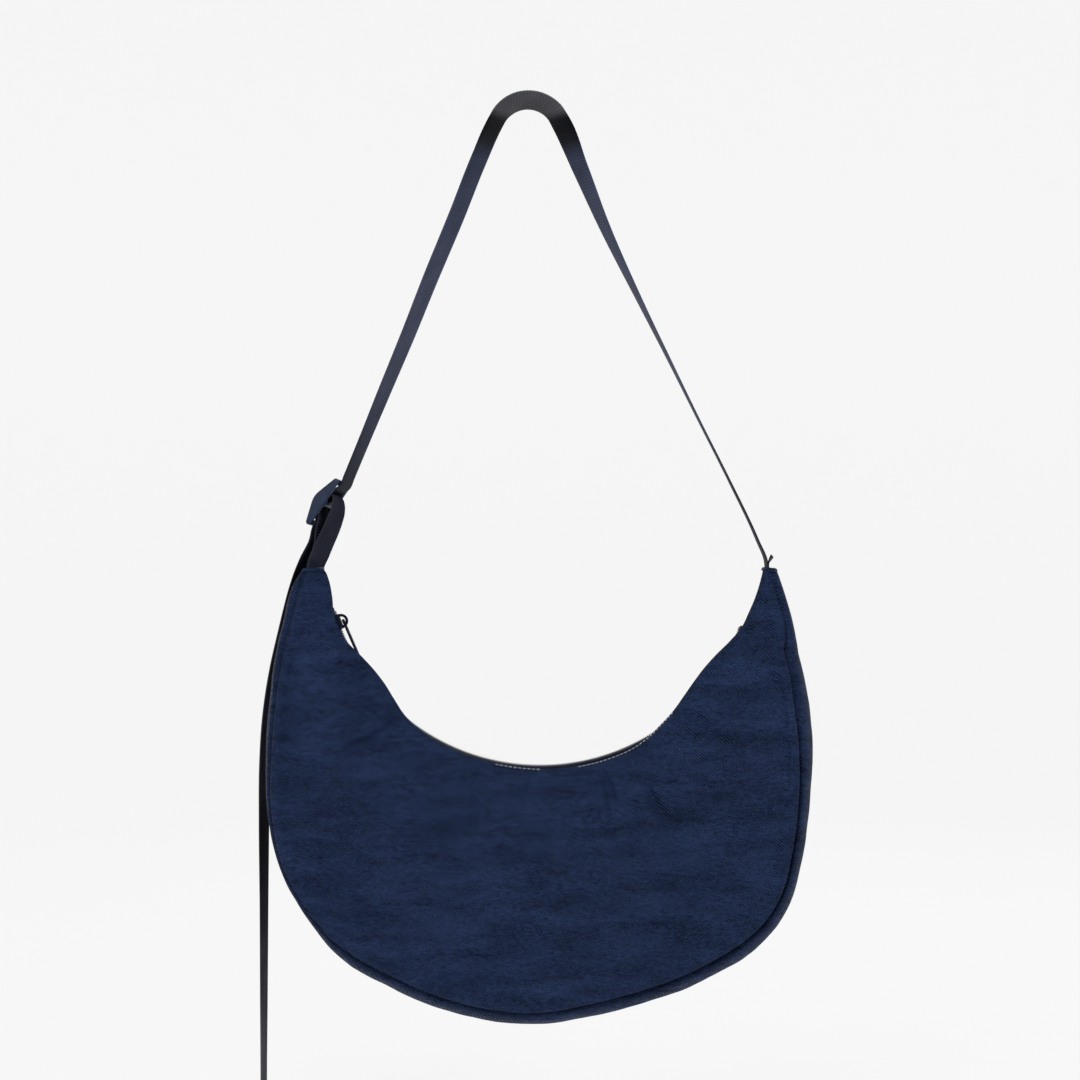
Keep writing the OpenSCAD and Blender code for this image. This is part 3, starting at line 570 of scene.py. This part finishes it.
def folded(points, folds, side):
    away = unit(np.cross(np.gradient(points, axis=1), np.gradient(points, axis=0)))
    away = away * side * np.sign(away[..., 1:2])
    x, z = points[..., 0], points[..., 2]
    total = np.zeros(x.shape)
    for x0, z0, x1, z1, depth, width, bend in folds:
        length = math.hypot(x1 - x0, z1 - z0)
        dx, dz = (x1 - x0) / length, (z1 - z0) / length
        along = ((x - x0) * dx + (z - z0) * dz) / length
        off = (x - x0) * dz - (z - z0) * dx - bend * np.sin(math.pi * np.clip(along, 0, 1))
        fade = ease((along + 0.3) / 0.5) * ease((1.3 - along) / 0.5)
        near, far = (np.exp(-((off + k * width) / (1.3 * width)) ** 2) for k in (-1.9, 1.9))
        total += depth * fade * (0.45 * near + 0.25 * far - np.exp(-(off / width) ** 2))
    room = ease((fineShares - 0.01) / 0.05) * ease((1 - fineShares) / 0.05)
    return points + away * (total * room[None, :])[..., None]


# beside the seam the panel swells and rolls over its edge, and both pieces dive into the stitched line
def rolled(points, distance, side, width, panel):
    values = {"in": -0.2, "down": -0.97, "rollAt": 3, "rollWidth": 1.9, "swell": 1.7, "swellAt": 8,
              "swellWidth": 5}
    theta = thetas[:, None]
    grow = ease(nearTip(theta) / 0.1)
    depth = curve(shell["dive"], theta) * np.exp(-(distance / width) ** 2)
    away, up = values["in"] * depth, values["down"] * depth
    if panel:
        roll = np.exp(-((distance - values["rollAt"]) / values["rollWidth"]) ** 2)
        swell = values["swell"] * np.exp(-((distance - values["swellAt"]) / values["swellWidth"]) ** 2)
        away = away + curve(shell["roll"], theta) * grow * roll
        up = up + grow * (swell + pucker(theta, distance, side))
    out = points + radialOut(points) * away[..., None]
    out[..., 1] += side * up
    return out


grid = shellGrid()
grid = simulate(grid)
print("cloth settled")
grid = denser(grid)
nPanel = len(panelShares)
thetas = np.linspace(shell["from"], shell["to"], len(grid))
jointRow = int(round(shell["joint"] * (len(grid) - 1)))
fineShares = denser(panelShares[:, None])[:, 0]
mouthAt, seamAt = lineAt("mouth", thetas)[:, None], lineAt("seam", thetas)[:, None]
fromSeam = (seamAt - mouthAt) * (1 - fineShares)
panels = []
for side, coarse, folds in ((-1, grid[:, :nPanel], frontFolds), (1, grid[:, :-nPanel - 1:-1], backFolds)):
    fine = denser(coarse.swapaxes(0, 1)).swapaxes(0, 1)
    panels.append(rolled(folded(fine, folds, side), fromSeam, side, 2.5, True))
frontGrid, backGrid = panels
fromEdge = (1 - np.abs(gussetShares)) * seamHalf(thetas)[:, None]
around = rolled(grid[:, nPanel:-nPanel], fromEdge, np.sign(gussetShares), 3.7, False)
around = np.concatenate([frontGrid[:, -1:], around, backGrid[:, -1:]], axis=1)


# how far the turned-in seam allowance reaches, and its direction from the seam's edge
def allowance(theta):
    return 1.5 + 7.5 * ease((nearTip(theta) - 0.035) / 0.05)


def inwardFrom(edge, side):
    return unit(-0.52 * radialOut(edge) + np.array([0, -0.85 * side, 0]))


def seamAllowance(edge, theta, side):
    inward, size = inwardFrom(edge, side), allowance(theta)[:, None]
    return [edge + inward * 0.5, edge + inward * (0.5 * size), edge + inward * size]


# a point on each column, at a distance down from the mouth, among its first 40 points
def columnAt(columns, down):
    near = columns[:, :40]
    step = np.linalg.norm(np.diff(near, axis=1), axis=2)
    run = np.c_[np.zeros(len(near)), np.cumsum(step, axis=1)]
    down = np.minimum(down, 0.6 * run[:, -1])
    return np.array([[np.interp(d, r, row[:, k]) for k in range(3)] for d, r, row in zip(down, run, near)])


# the mouth's turned hem: its depth, and how far each of its lines lies inside or below the lip
mouthHem = {"depth": 8.0, "edge": 1.7, "middle": 1.6, "turn": 1.4, "turnDown": 1.2, "lip": 0.6,
            "lipUp": 0.25}


def panelPiece(name, part, theta, side):
    lip, below = part[:, 0], unit(part[:, 1] - part[:, 0])
    inward = np.zeros_like(lip)
    inward[:, 1] = -side
    depth = np.full(len(lip), mouthHem["depth"])
    hem = [columnAt(part, depth) + mouthHem["edge"] * inward,
           columnAt(part, 0.5 * depth) + mouthHem["middle"] * inward,
           lip + mouthHem["turnDown"] * below + mouthHem["turn"] * inward,
           lip - mouthHem["lipUp"] * below + mouthHem["lip"] * inward]
    points = np.stack([*hem, *part.transpose(1, 0, 2), *seamAllowance(part[:, -1], theta, side)], axis=1)
    if side > 0:
        points = points[:, ::-1]
    return clothPiece(gridObject(name, points), shell["cloth"], 0)


# the gusset lies a little outside the panels' turned edges
def gussetPiece(name, part, theta):
    gap = 0.35
    body = part.copy()
    body[:, 0] += gap * radialOut(body[:, 0])
    body[:, -1] += gap * radialOut(body[:, -1])
    rim = [p + gap * radialOut(p) for p in seamAllowance(part[:, 0], theta, -1)[::-1]]
    tail = [p + gap * radialOut(p) for p in seamAllowance(part[:, -1], theta, 1)]
    points = np.stack([*rim, *body.transpose(1, 0, 2), *tail], axis=1)
    return clothPiece(gridObject(name, points), shell["cloth"], 0)


dress(panelPiece("frontPanel", frontGrid, thetas, -1), nylon, "bag", "shell_cloth", "front_panel")
dress(panelPiece("backPanel", backGrid, thetas, 1), nylon, "bag", "shell_cloth", "back_panel")
for name, rows, node in (("gussetLeft", slice(0, jointRow + 1), "gusset_left"),
                         ("gussetRight", slice(jointRow, None), "gusset_right")):
    dress(gussetPiece(name, around[rows], thetas[rows]), nylon, "bag", "shell_cloth", node)
print("shell made")


# bindings, pocket, tabs and folds

# tape folded round the raw seam allowances
def bindingPiece(name, side, node):
    values = {"width": 6, "over": 0.6, "half": 1.5, "cloth": 0.4}
    keep = nearTip(thetas) > 0.085
    edge = (frontGrid if side < 0 else backGrid)[keep, -1]
    inward = inwardFrom(edge, side)
    out = values["half"] * unit(np.cross(inward, np.gradient(edge, axis=0)))
    size = allowance(thetas[keep])[:, None]
    low, high = edge + (size - values["width"]) * inward, edge + (size + values["over"]) * inward
    points = np.stack([low - out, high - out, high + out, low + out], axis=1)
    piece = clothPiece(gridObject(name, points), values["cloth"], 0)
    return dress(piece, bindingCloth, "bag", "binding_tape", node)


bindingPiece("bindingFront", -1, "seam_binding_front")
bindingPiece("bindingBack", 1, "seam_binding_back")


# y of the panel's face at a radius
def panelFace(theta, r):
    lip, seam = lineAt("mouth", theta), lineAt("seam", theta)
    v = (r - lip) / (seam - lip)
    half, edge = seamHalf(theta), lipHalf(theta)
    swell = shell["belly"] * (half - edge) * np.sin(math.pi * v)
    return edge + (half - edge) * np.sin(0.5 * math.pi * v) + swell


def jointBinding():
    values = {"halfAngle": 1.02, "reach": 0.66, "inside": 3.2, "cloth": 0.5}
    middle = shell["from"] + (shell["to"] - shell["from"]) * shell["joint"]
    theta = middle + np.linspace(-1, 1, 5)[:, None] * values["halfAngle"]
    w = np.linspace(-values["reach"], values["reach"], 9)[None, :]
    seam, outer = lineAt("seam", theta), lineAt("outer", theta)
    points = polar(theta, seam + (outer - seam) * (1 - w * w) - values["inside"], w * seamHalf(theta))
    piece = clothPiece(gridObject("jointBinding", points), values["cloth"], 0)
    return dress(piece, bindingCloth, "bag", "binding_tape", "gusset_joint_binding")


jointBinding()

pocket = {"from": 240.8, "to": 299.2, "top": 163.0, "depth": 93.0, "hem": 12.0, "inset": 5.2}


def pocketPiece(name, depth, lift, node):
    theta = np.linspace(pocket["from"], pocket["to"], 40)[:, None]
    r = pocket["top"] + np.linspace(0, depth, 26 if depth > 20 else 5)[None, :]
    y = panelFace(theta, r) - pocket["inset"] - lift
    points = polar(theta, r, y)
    points = points + np.array([0, 1, 0]) * crumple(points, 20, 0.5, 5)[..., None]
    return dress(clothPiece(gridObject(name, points[:, ::-1]), 0.8, 0), nylon, "bag", "shell_cloth", node)


pocketPiece("slipPocket", pocket["depth"], 0, "inner_pocket")
pocketPiece("pocketHem", pocket["hem"], 1.3, "pocket_hem_band")

# "inner" and "outer" are half widths of the tape's flat part, and "leg" runs down inside the lip
zipper = {"r": 154.5, "from": 195.0, "to": 340.0, "tape": 0.6, "inner": 0.8, "outer": 6.4, "leg": 8.0,
          "coilWidth": 2.4, "coilHeight": 1.6, "coilGap": 1.4, "pitch": 1.45}


# cloth that closes the mouth between an end of the zip and the tip
def endTab(name, start, end, node):
    theta = np.linspace(start, end, 12)[:, None]
    w = np.linspace(-1, 1, 9)[None, :]
    r = lineAt("mouth", theta) + 0.9 * w + 0.9
    points = polar(theta, r, w * (lipHalf(theta) - 1.4))
    piece = clothPiece(gridObject(name, points[:, ::-1]), shell["cloth"], 1)
    return dress(piece, nylon, "bag", "shell_cloth", node)


endTab("zipTabLeft", 184.5, 194.8, "zip_end_tab_left")
endTab("zipTabRight", 340.2, 355.5, "zip_end_tab_right")


# cloth turned in over a tip, from its rim down to the slot that the webbing goes through
def tipFold(name, angle, lift, node, slotCentre, slotSize):
    inner, outer, seam = (float(lineAt(k, angle)) for k in ("mouth", "outer", "seam"))
    half = shell["tipDepth"] / 2
    w = np.linspace(1, -1, 13)
    rim = [(inner + 0.2, half - 1.5), (inner, 0), (inner + 0.2, -half + 1.5), (inner + 1, -half)]
    rim += [(seam + (outer - seam) * (1 - k * k), -k * half) for k in w]
    rim = np.array(rim + [(inner + 1, half)])
    corners = [(-1, 1), (-1, 0), (-1, -1), (0, -1.06), *[(1, -k) for k in w], (0, 1.06)]
    cut = np.array(slotCentre) + np.array(slotSize) / 2 * np.array(corners)
    rings = [polar(angle, k[:, 0], k[:, 1]) for k in (rim, 0.5 * (rim + cut), cut)]
    away = np.array([-math.sin(math.radians(angle)), 0, math.cos(math.radians(angle))]) * lift
    rings = [rings[0] - 1.4 * away, rings[0], rings[1] + 0.6 * away, rings[2] - 0.6 * away]
    points = np.stack([np.vstack([r, r[:1]]) for r in rings], axis=0)
    obj = gridObject(name, points if lift < 0 else points[:, ::-1])
    bm = bmesh.new()
    bm.from_mesh(obj.data)
    bmesh.ops.remove_doubles(bm, verts=bm.verts, dist=1e-5)
    bm.to_mesh(obj.data)
    bm.free()
    return dress(clothPiece(obj, shell["cloth"], 1), nylon, "bag", "shell_cloth", node)


tipFold("tipFoldLeft", shell["from"], -1, "tip_fold_left", (162.8, 0), (8.6, 26))
tipFold("tipFoldRight", shell["to"], 1, "tip_fold_right", (165.0, 0), (5.0, 26))
print("inner pieces made")


# zip

def zipTape(name, side, node):
    r, outer = zipper["r"], zipper["outer"]
    theta = np.linspace(zipper["from"], zipper["to"], 190)
    section = [(r, zipper["inner"]), (r, 0.5 * outer), (r + 0.1, outer - 1.2), (r + 0.5, outer - 0.3),
               (r + 1.4, outer), (r + zipper["leg"], outer + 0.2)]
    points = np.stack([polar(theta, at, side * y) for at, y in section], axis=1)
    points = points if side > 0 else points[:, ::-1]
    piece = clothPiece(gridObject(name, points), zipper["tape"], 1)
    return dress(piece, tapeCloth, "bag", "zip_tape", node)


zipTape("zipTapeFront", -1, "zip_tape_front")
zipTape("zipTapeBack", 1, "zip_tape_back")


# one turn of the coil, bent round the tape's edge
def toothMesh(side):
    w, h = zipper["coilWidth"], zipper["coilHeight"]
    path = [(-0.15, 0.35, -0.3), (-0.15, w - 0.5, -0.32), (-0.55, w, -0.2), (-h + 0.35, w - 0.3, 0),
            (-h + 0.2, 0.5 * w, 0.15), (-h + 0.25, 0.1, 0.3), (-0.7, -0.12, 0.32), (-0.2, 0.3, 0.3)]
    path = smoothPath([(x, side * (y + zipper["coilGap"] / 2), z) for x, y, z in path], 0.45)
    tangent = unit(np.gradient(path, axis=0))
    first = unit(np.cross(tangent, [0.3, 0.2, 1]))
    second = np.cross(tangent, first)
    turn = np.linspace(0, 2 * math.pi, 7)[:-1, None]
    spoke = np.cos(turn) * first[:, None] + np.sin(turn) * second[:, None]
    ring = path[:, None] + 0.27 * spoke
    return smooth(newObject("tooth", ring.reshape(-1, 3), tubeFaces(*ring.shape[:2])))


# copies of one small mesh along a path, turned with it
def repeatAlong(name, path, unitObject, pitch, up, material):
    tree = bpy.data.node_groups.new(name, "GeometryNodeTree")
    tree.interface.new_socket("Geometry", in_out="INPUT", socket_type="NodeSocketGeometry")
    tree.interface.new_socket("Pitch", in_out="INPUT", socket_type="NodeSocketFloat")
    tree.interface.new_socket("Geometry", in_out="OUTPUT", socket_type="NodeSocketGeometry")
    given = add(tree, "NodeGroupInput")
    line = add(tree, "GeometryNodeMeshToCurve", {"Mesh": given["Geometry"]})["Curve"]
    sockets = {"Curve": line, "Length": given["Pitch"]}
    even = add(tree, "GeometryNodeResampleCurve", sockets, mode="LENGTH")["Curve"]
    tangent = add(tree, "GeometryNodeInputTangent")["Tangent"]
    aligned = add(tree, "FunctionNodeAlignRotationToVector", {"Vector": tangent}, axis="Z")["Rotation"]
    if up is not None:
        aligned = add(tree, "FunctionNodeAlignRotationToVector", {"Rotation": aligned, "Vector": up},
                      axis="Y", pivot_axis="Z")["Rotation"]
    one = add(tree, "GeometryNodeObjectInfo", {"Object": unitObject})["Geometry"]
    sockets = {"Points": even, "Instance": one, "Rotation": aligned}
    many = add(tree, "GeometryNodeInstanceOnPoints", sockets)["Instances"]
    real = add(tree, "GeometryNodeRealizeInstances", {"Geometry": many})["Geometry"]
    dressed = add(tree, "GeometryNodeSetMaterial", {"Geometry": real, "Material": material})["Geometry"]
    add(tree, "NodeGroupOutput", {"Geometry": dressed})
    obj = newObject(name, path, [], edges=[(k, k + 1) for k in range(len(path) - 1)])
    modifier = obj.modifiers.new(name, "NODES")
    modifier.node_group = tree
    for item in tree.interface.items_tree:
        if item.name == "Pitch":
            modifier[item.identifier] = pitch * mm
    return bake(obj)


def coilRow(name, side, node):
    tooth = toothMesh(side)
    theta = np.linspace(zipper["from"] + 2, zipper["to"] - 1.5, 400)
    path = polar(theta, zipper["r"], 0)
    row = repeatAlong(name, path, tooth, zipper["pitch"], (0, 1, 0), coilNylon)
    bpy.data.objects.remove(tooth)
    return dress(row, coilNylon, "bag", "zip_coil", node)


coilRow("zipCoilFront", -1, "zip_coil_front")
coilRow("zipCoilBack", 1, "zip_coil_back")
print("zip made")


# stitches

def stitchMesh(length, radius):
    bm = bmesh.new()
    bmesh.ops.create_uvsphere(bm, u_segments=6, v_segments=5, radius=1)
    for v in bm.verts:
        v.co = Vector((v.co.x * radius, v.co.y * radius, v.co.z * length / 2)) * mm
    return smooth(fromBmesh("stitch", bm))


def stitchRow(name, path, pitch=2.6, length=1.9, radius=0.24, thread=sewingThread):
    stitch = stitchMesh(length, radius)
    row = repeatAlong(name, path, stitch, pitch, None, thread)
    bpy.data.objects.remove(stitch)
    return dress(row, thread, "bag", "shell_cloth")


def rowOnPanel(columns, side, down, lift):
    place = columnAt(columns, np.full(len(columns), down))
    below = unit(columns[:, 1] - columns[:, 0])
    away = unit(np.cross(np.gradient(place, axis=0), below)) * side
    away[:, 1] = side * np.abs(away[:, 1])
    return smoothPath((place + lift * away)[3:-3], 1.5)


# pale dashes along two stretches of the lip: a painted highlight on its folded edge, drawn as stitches
for name, first, last in (("edgeStitchMiddle", 257, 271), ("edgeStitchRight", 279, 311)):
    edgeRows = (thetas > first) & (thetas < last)
    stitchRow(name, rowOnPanel(frontGrid[edgeRows], -1, 0.25, 0.1), 3.0, 2.1, 0.38, edgeHighlightThread)
stitchRow("mouthStitchFront", rowOnPanel(frontGrid, -1, 3.0, 0.1))
stitchRow("mouthStitchBack", rowOnPanel(backGrid, 1, 3.0, 0.1))
print("stitches made")


# webbing

# the adjuster's place and its directions: along its rails, along its bars and out of its face
adjusterFrame = {"pivot": (-143.872, 2.113, -289.902), "rail": (0.560067, -0.0462059, 0.827158),
                 "bar": (0.207761, 0.97437, -0.0862454), "out": (-0.801973, 0.220154, 0.555312)}
pivot, rail, bar, out = (np.array(adjusterFrame[k]) for k in ("pivot", "rail", "bar", "out"))


def local(points):
    p = np.array(points, float)
    return pivot + p[:, :1] * rail + p[:, 1:2] * out


# flat webbing with rounded edges along a path; across says which way its width lies
def ribbon(name, points, across, width=25.0, thickness=1.4, cols=12, step=2.0):
    rows = smoothPath(np.c_[points, across], step)
    centre, side = rows[:, :3], rows[:, 3:]
    tangent = unit(np.gradient(centre, axis=0))
    side = unit(side - np.sum(side * tangent, axis=1, keepdims=True) * tangent)
    normal = np.cross(side, tangent)
    s = np.linspace(-1, 1, cols)
    face = np.c_[0.5 * width * s, 0.5 * thickness * (1 - 0.45 * np.abs(s) ** 6)]
    ring = np.vstack([face, face[::-1] * (1, -1)])
    verts = centre[:, None] + ring[None, :, :1] * side[:, None] + ring[None, :, 1:] * normal[:, None]
    along = np.r_[0, np.cumsum(np.linalg.norm(np.diff(centre, axis=0), axis=1))]
    uv = np.stack(np.broadcast_arrays(ring[None, :, 0], along[:, None]), axis=-1).reshape(-1, 2)
    obj = newObject(name, verts.reshape(-1, 3), tubeFaces(*verts.shape[:2]), uv)
    bm = bmesh.new()
    bm.from_mesh(obj.data)
    bmesh.ops.recalc_face_normals(bm, faces=bm.faces)
    bm.to_mesh(obj.data)
    bm.free()
    return smooth(obj, 50), along[-1]


# directions across the strap, leaning from straight back by an angle at each point
def leaning(points, angles):
    p = np.array(points, float)
    t = unit(np.gradient(p, axis=0))
    inside = unit(np.stack([t[:, 2], 0 * t[:, 0], -t[:, 0]], axis=1))
    a = np.radians(np.array(angles, float))[:, None]
    return np.cos(a) * np.array([0.0, 1.0, 0.0]) + np.sin(a) * inside


def soft(obj, slotName, *nodes, cloth=webbingCloth):
    obj.data.materials.append(cloth)
    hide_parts(*nodes)
    return obj


# routes of the webbing: "weave" in the adjuster's own directions, "line" in x, y and z
upper = {
    "weave": [
        (0, 5.7), (2.4, 5.53), (5, 4.67), (8, 2.5), (11, -0.3), (14.2, -2.5), (17.3, -3.2),
        (23.4, -1.95), (29.5, -0.65),
    ],
    "line": [
        (-118.6, 0.5, -246), (-103.7, 0.5, -209.8), (-86.3, 0.4, -168), (-69.6, 0.3, -126.2),
        (-52.0, 0.2, -84), (-35.6, 0.1, -42.6), (-23.4, 0, -15.4), (-19.4, 0, -8.6), (-14.1, 0, -3.7),
        (-7.7, 0, -0.5), (-0.5, 0, 0.7), (6.6, 0, -0.2), (13.2, 0, -3.1), (18.7, 0, -7.7),
        (22.9, 0, -14.4), (38.2, 0, -50), (54.6, 0, -89.3), (80.2, 0, -143.3), (101.6, 0, -186.5),
        (122.9, 0, -229.7), (144.6, 0, -272.9), (165, 0, -316), (171.4, 0, -332.5), (171.7, 0, -337),
        (170.6, 0, -350.5),
    ],
    "lean": [13.5, 16, 18.5, 20.5, 22, 22.6, 22.4, 22, 22, 22, 22, 23, 24, 26, 28, 22, 13, 4, 0, -2, -2, -1,
             0, 0, 0],
}
woven = local(upper["weave"])
line = np.array(upper["line"], float)
across = np.vstack([np.tile(bar, (len(woven), 1)), leaning(line, upper["lean"])])
strapUpper, upperLength = ribbon("strapUpper", np.vstack([woven, line]), across)
soft(strapUpper, "webbing", "strap", "strap_weave")
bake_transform(strapUpper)

lower = {
    "weave": [
        (0, 5.7), (-2.6, 5.13), (-5.6, 3.2), (-9, 0.74), (-12.4, -1.7), (-15.05, -3.03), (-17.3, -3.2),
        (-22, -4.6), (-26.8, -6.7),
    ],
    "line": [
        (-160.2, 4.5, -328.8), (-166.5, 11, -343), (-172.6, 18.5, -361), (-178.2, 22.5, -382),
        (-184.6, 24.5, -410), (-189.6, 24.5, -442), (-192.2, 24, -480), (-192.6, 23.5, -520),
        (-192.6, 23.5, -580), (-192.7, 23.5, -650), (-192.8, 23.5, -710), (-192.8, 23.5, -733.6),
    ],
    "turn": [13, 12, 12, 12, 12.5, 12, 11, 10, 7, 5, 3, 3],
}
woven = local(lower["weave"])
line = np.array(lower["line"], float)
turn = np.radians(np.array(lower["turn"], float))[:, None]
across = np.concatenate([np.sin(turn), np.cos(turn), 0 * turn], axis=1)
across = np.vstack([np.tile(bar, (len(woven), 1)), across])
strapLower, lowerLength = ribbon("strapTail", np.vstack([woven, line]), across)
soft(strapLower, "webbing", "strap_tail", cloth=shadedWebbingCloth)
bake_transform(strapLower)

hemTop, hemEnd = np.array([-194.6, 23.6, -712.0]), np.array([-194.6, 23.6, -733.8])
hem, _ = ribbon("tailHem", np.linspace(hemTop, hemEnd, 4), np.tile([0.06, 0.998, 0], (4, 1)))
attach(soft(hem, "webbing", "strap_tail_hem", cloth=shadedWebbingCloth), "bag")

endPath = [(170.6, 0, -349), (172.2, 0, -337.5), (172.6, 0, -333.5), (174.2, 0, -330.2), (175.8, 0, -327.6)]
endAcross = [(0, 1, 0), (0, 1, 0), (0.05, 1, 0), (0.15, 1, 0), (0.2, 1, 0)]
strapEnd, _ = ribbon("strapEnd", endPath, endAcross, step=1.0)
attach(soft(strapEnd, "webbing", "strap_end_right"), "bag")

loopPath = [
    (-48.4, -23.6), (-43.5, -18.9), (-34, -16.4), (-24.9, -14.4), (-16, -12.9), (-8.2, -11.2),
    (-1, -9.1), (4.2, -6.3), (7.2, -3.6), (7.9, -1), (6.3, 1.2), (3.3, 2.7), (0, 4), (-2.8, 2.9),
    (-6.5, 0.3), (-10.2, -2.5), (-14, -4.6), (-17.3, -5.6), (-28.7, -11.9), (-42.4, -16.2),
    (-49.7, -22),
]
flare = np.array([0.16, 0.2, 0.24, 0.25, 0.22, 0.18, 0.12, 0.06] + [0] * (len(loopPath) - 8))[:, None]
across = bar + flare * np.array([1.0, 0, 0])
anchorLoop, loopLength = ribbon("anchorLoop", local(loopPath), across, step=1.2)
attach(soft(anchorLoop, "webbing", "anchor_loop", cloth=shadedWebbingCloth), "bag")
print("webbing made, mm:", round(upperLength), round(lowerLength), round(loopLength))


# adjuster

adjuster = {"step": 17.3, "barRadius": 2.2, "pivotRadius": 3.0, "railWidth": 4.0, "peak": 4.9,
            "peakRadius": 16.0, "inside": 25.6, "edge": 1.6}


# outline of a side rail: flat below, bowed above
def railProfile():
    half, r, peak, peakRadius = (adjuster[k] for k in ("step", "barRadius", "peak", "peakRadius"))
    drop = peakRadius - peak - r
    lean = math.asin((peakRadius - r) / math.hypot(half, drop)) - math.atan2(drop, half)
    ends = np.linspace(-math.pi / 2, math.pi / 2 - lean, 10)
    right = [(half + r * math.cos(a), r * math.sin(a)) for a in ends]
    top = peak + r - peakRadius
    bow = np.linspace(lean, -lean, 9)
    crown = [(peakRadius * math.sin(a), top + peakRadius * math.cos(a)) for a in bow]
    return right + crown + [(-x, z) for x, z in right[::-1]]


def adjusterBody():
    bm = bmesh.new()
    profile = railProfile()
    inside, wide, step = adjuster["inside"], adjuster["railWidth"], adjuster["step"]
    for side in (-1, 1):
        inner = side * inside / 2
        far = inner + side * wide
        a = [bm.verts.new((x * mm, inner * mm, z * mm)) for x, z in profile]
        b = [bm.verts.new((x * mm, far * mm, z * mm)) for x, z in profile]
        bm.faces.new(a)
        bm.faces.new(b[::-1])
        for k in range(len(a)):
            n = (k + 1) % len(a)
            bm.faces.new((a[k], b[k], b[n], a[n]))
    for place, key in ((-step, "barRadius"), (0, "pivotRadius"), (step, "barRadius")):
        matrix = Matrix.Translation((place * mm, 0, 0)) @ Matrix.Rotation(math.pi / 2, 4, "X")
        radius = adjuster[key] * 0.985 * mm  # a little under the rails' own round ends
        bmesh.ops.create_cone(bm, cap_ends=True, segments=40, radius1=radius, radius2=radius,
                              depth=(inside + wide) * mm, matrix=matrix)
    bmesh.ops.recalc_face_normals(bm, faces=bm.faces)
    obj = fromBmesh("adjusterBody", bm)
    bevel = obj.modifiers.new("edges", "BEVEL")
    bevel.width = adjuster["edge"] * mm
    bevel.segments = 3
    bevel.limit_method = "ANGLE"
    bevel.angle_limit = math.radians(40)
    bake(obj)
    place = [[rail[k], bar[k], out[k], pivot[k] * mm] for k in range(3)] + [[0, 0, 0, 1]]
    obj.data.transform(Matrix(place))
    return dress(smooth(obj, 40), satinPlastic, "adjuster", "moulded_plastic", "adjuster")


adjusterBody()

carriedFinish = {"zip_slider": darkEnamel, "zip_slider_bail": darkEnamel, "zip_pull": darkEnamel,
                 "zip_top_stops": plainAlloy, "zip_bottom_stop": plainAlloy}
for node, material in carriedFinish.items():
    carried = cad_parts[node]
    carried.data.materials.clear()
    carried.data.materials.append(material)
print("adjuster and carried pieces dressed")


# stage, light and camera

# floor and backdrop in one: a wide round cove of pale paper, glowing a little behind the bag
def studioCove():
    values = {"floor": -790.0, "radius": 2700.0, "turn": 900.0, "top": 2600.0, "sides": 96,
              "deep": "#585858", "light": "#5a5a5a", "frontGlow": 0.5, "backGlow": 0.845,
              "frontEnd": -1.6, "backEnd": 0.38}
    floor, radius, turn = values["floor"], values["radius"], values["turn"]
    profile = [(0.5, floor), (0.5 * radius, floor)]
    profile += [(radius + turn * math.sin(a), floor + turn * (1 - math.cos(a)))
                for a in np.linspace(0, math.pi / 2, 14)]
    profile += [(radius + turn, values["top"])]
    around = np.linspace(0, 2 * math.pi, values["sides"] + 1)[:-1]
    points = np.array([[(r * math.cos(a), r * math.sin(a), z) for a in around] for r, z in profile])
    faces = gridFaces(len(profile), values["sides"], True)
    obj = smooth(newObject("studioCove", points.reshape(-1, 3), faces))
    material, tree = newMaterial("plain pale paper")  # even, matt and almost white
    grain = patches(tree, inMillimetres(tree), 0.02, 2.0, 0.2, 0.8)
    depth = add(tree, "ShaderNodeSeparateXYZ", {"Vector": add(tree, "ShaderNodeTexCoord")["Object"]})["Y"]
    sockets = {"Value": depth, "From Min": values["frontEnd"], "From Max": values["backEnd"],
               "To Min": values["frontGlow"], "To Max": values["backGlow"]}
    glow = add(tree, "ShaderNodeMapRange", sockets, interpolation_type="SMOOTHSTEP")["Result"]
    finishMaterial(tree, {"Base Color": toneBetween(tree, grain, values["deep"], values["light"]),
                          "Roughness": 0.95, "Specular IOR Level": 0.0,
                          "Emission Color": linear("#ffffff"), "Emission Strength": glow})
    obj.data.materials.append(material)


studioCove()


def areaLight(name, place, target, size, power):
    data = bpy.data.lights.new(name, "AREA")
    data.shape = "RECTANGLE"
    data.size, data.size_y = size
    data.energy = power
    light = bpy.data.objects.new(name, data)
    light.location = place
    light.rotation_euler = (Vector(target) - Vector(place)).to_track_quat("-Z", "Y").to_euler()
    light.visible_camera = False
    scene.collection.objects.link(light)


areaLight("keyLight", (-0.25, -1.8, 1.0), (0, 0, -0.42), (0.8, 0.8), 35)
areaLight("fillLight", (1.5, -1.9, 0.1), (0, 0, -0.45), (1.4, 1.4), 5)
areaLight("rearLight", (0.6, 1.6, 0.9), (0, 0, -0.45), (1.0, 1.0), 12)
world = bpy.data.worlds.new("studio")
world.use_nodes = True
world.node_tree.nodes["Background"].inputs["Color"].default_value = (1, 1, 1, 1)
world.node_tree.nodes["Background"].inputs["Strength"].default_value = 0.15
scene.world = world
scene.view_settings.view_transform = "Standard"

camera = bpy.data.objects.new("camera", bpy.data.cameras.new("camera"))
camera.data.lens = 85.19
camera.data.sensor_width = 36
camera.data.clip_start, camera.data.clip_end = 0.05, 20
camera.location = (0.0086, -cameraAway * mm, -0.3161)
camera.rotation_euler = (math.pi / 2, 0, 0)
scene.collection.objects.link(camera)
scene.camera = camera
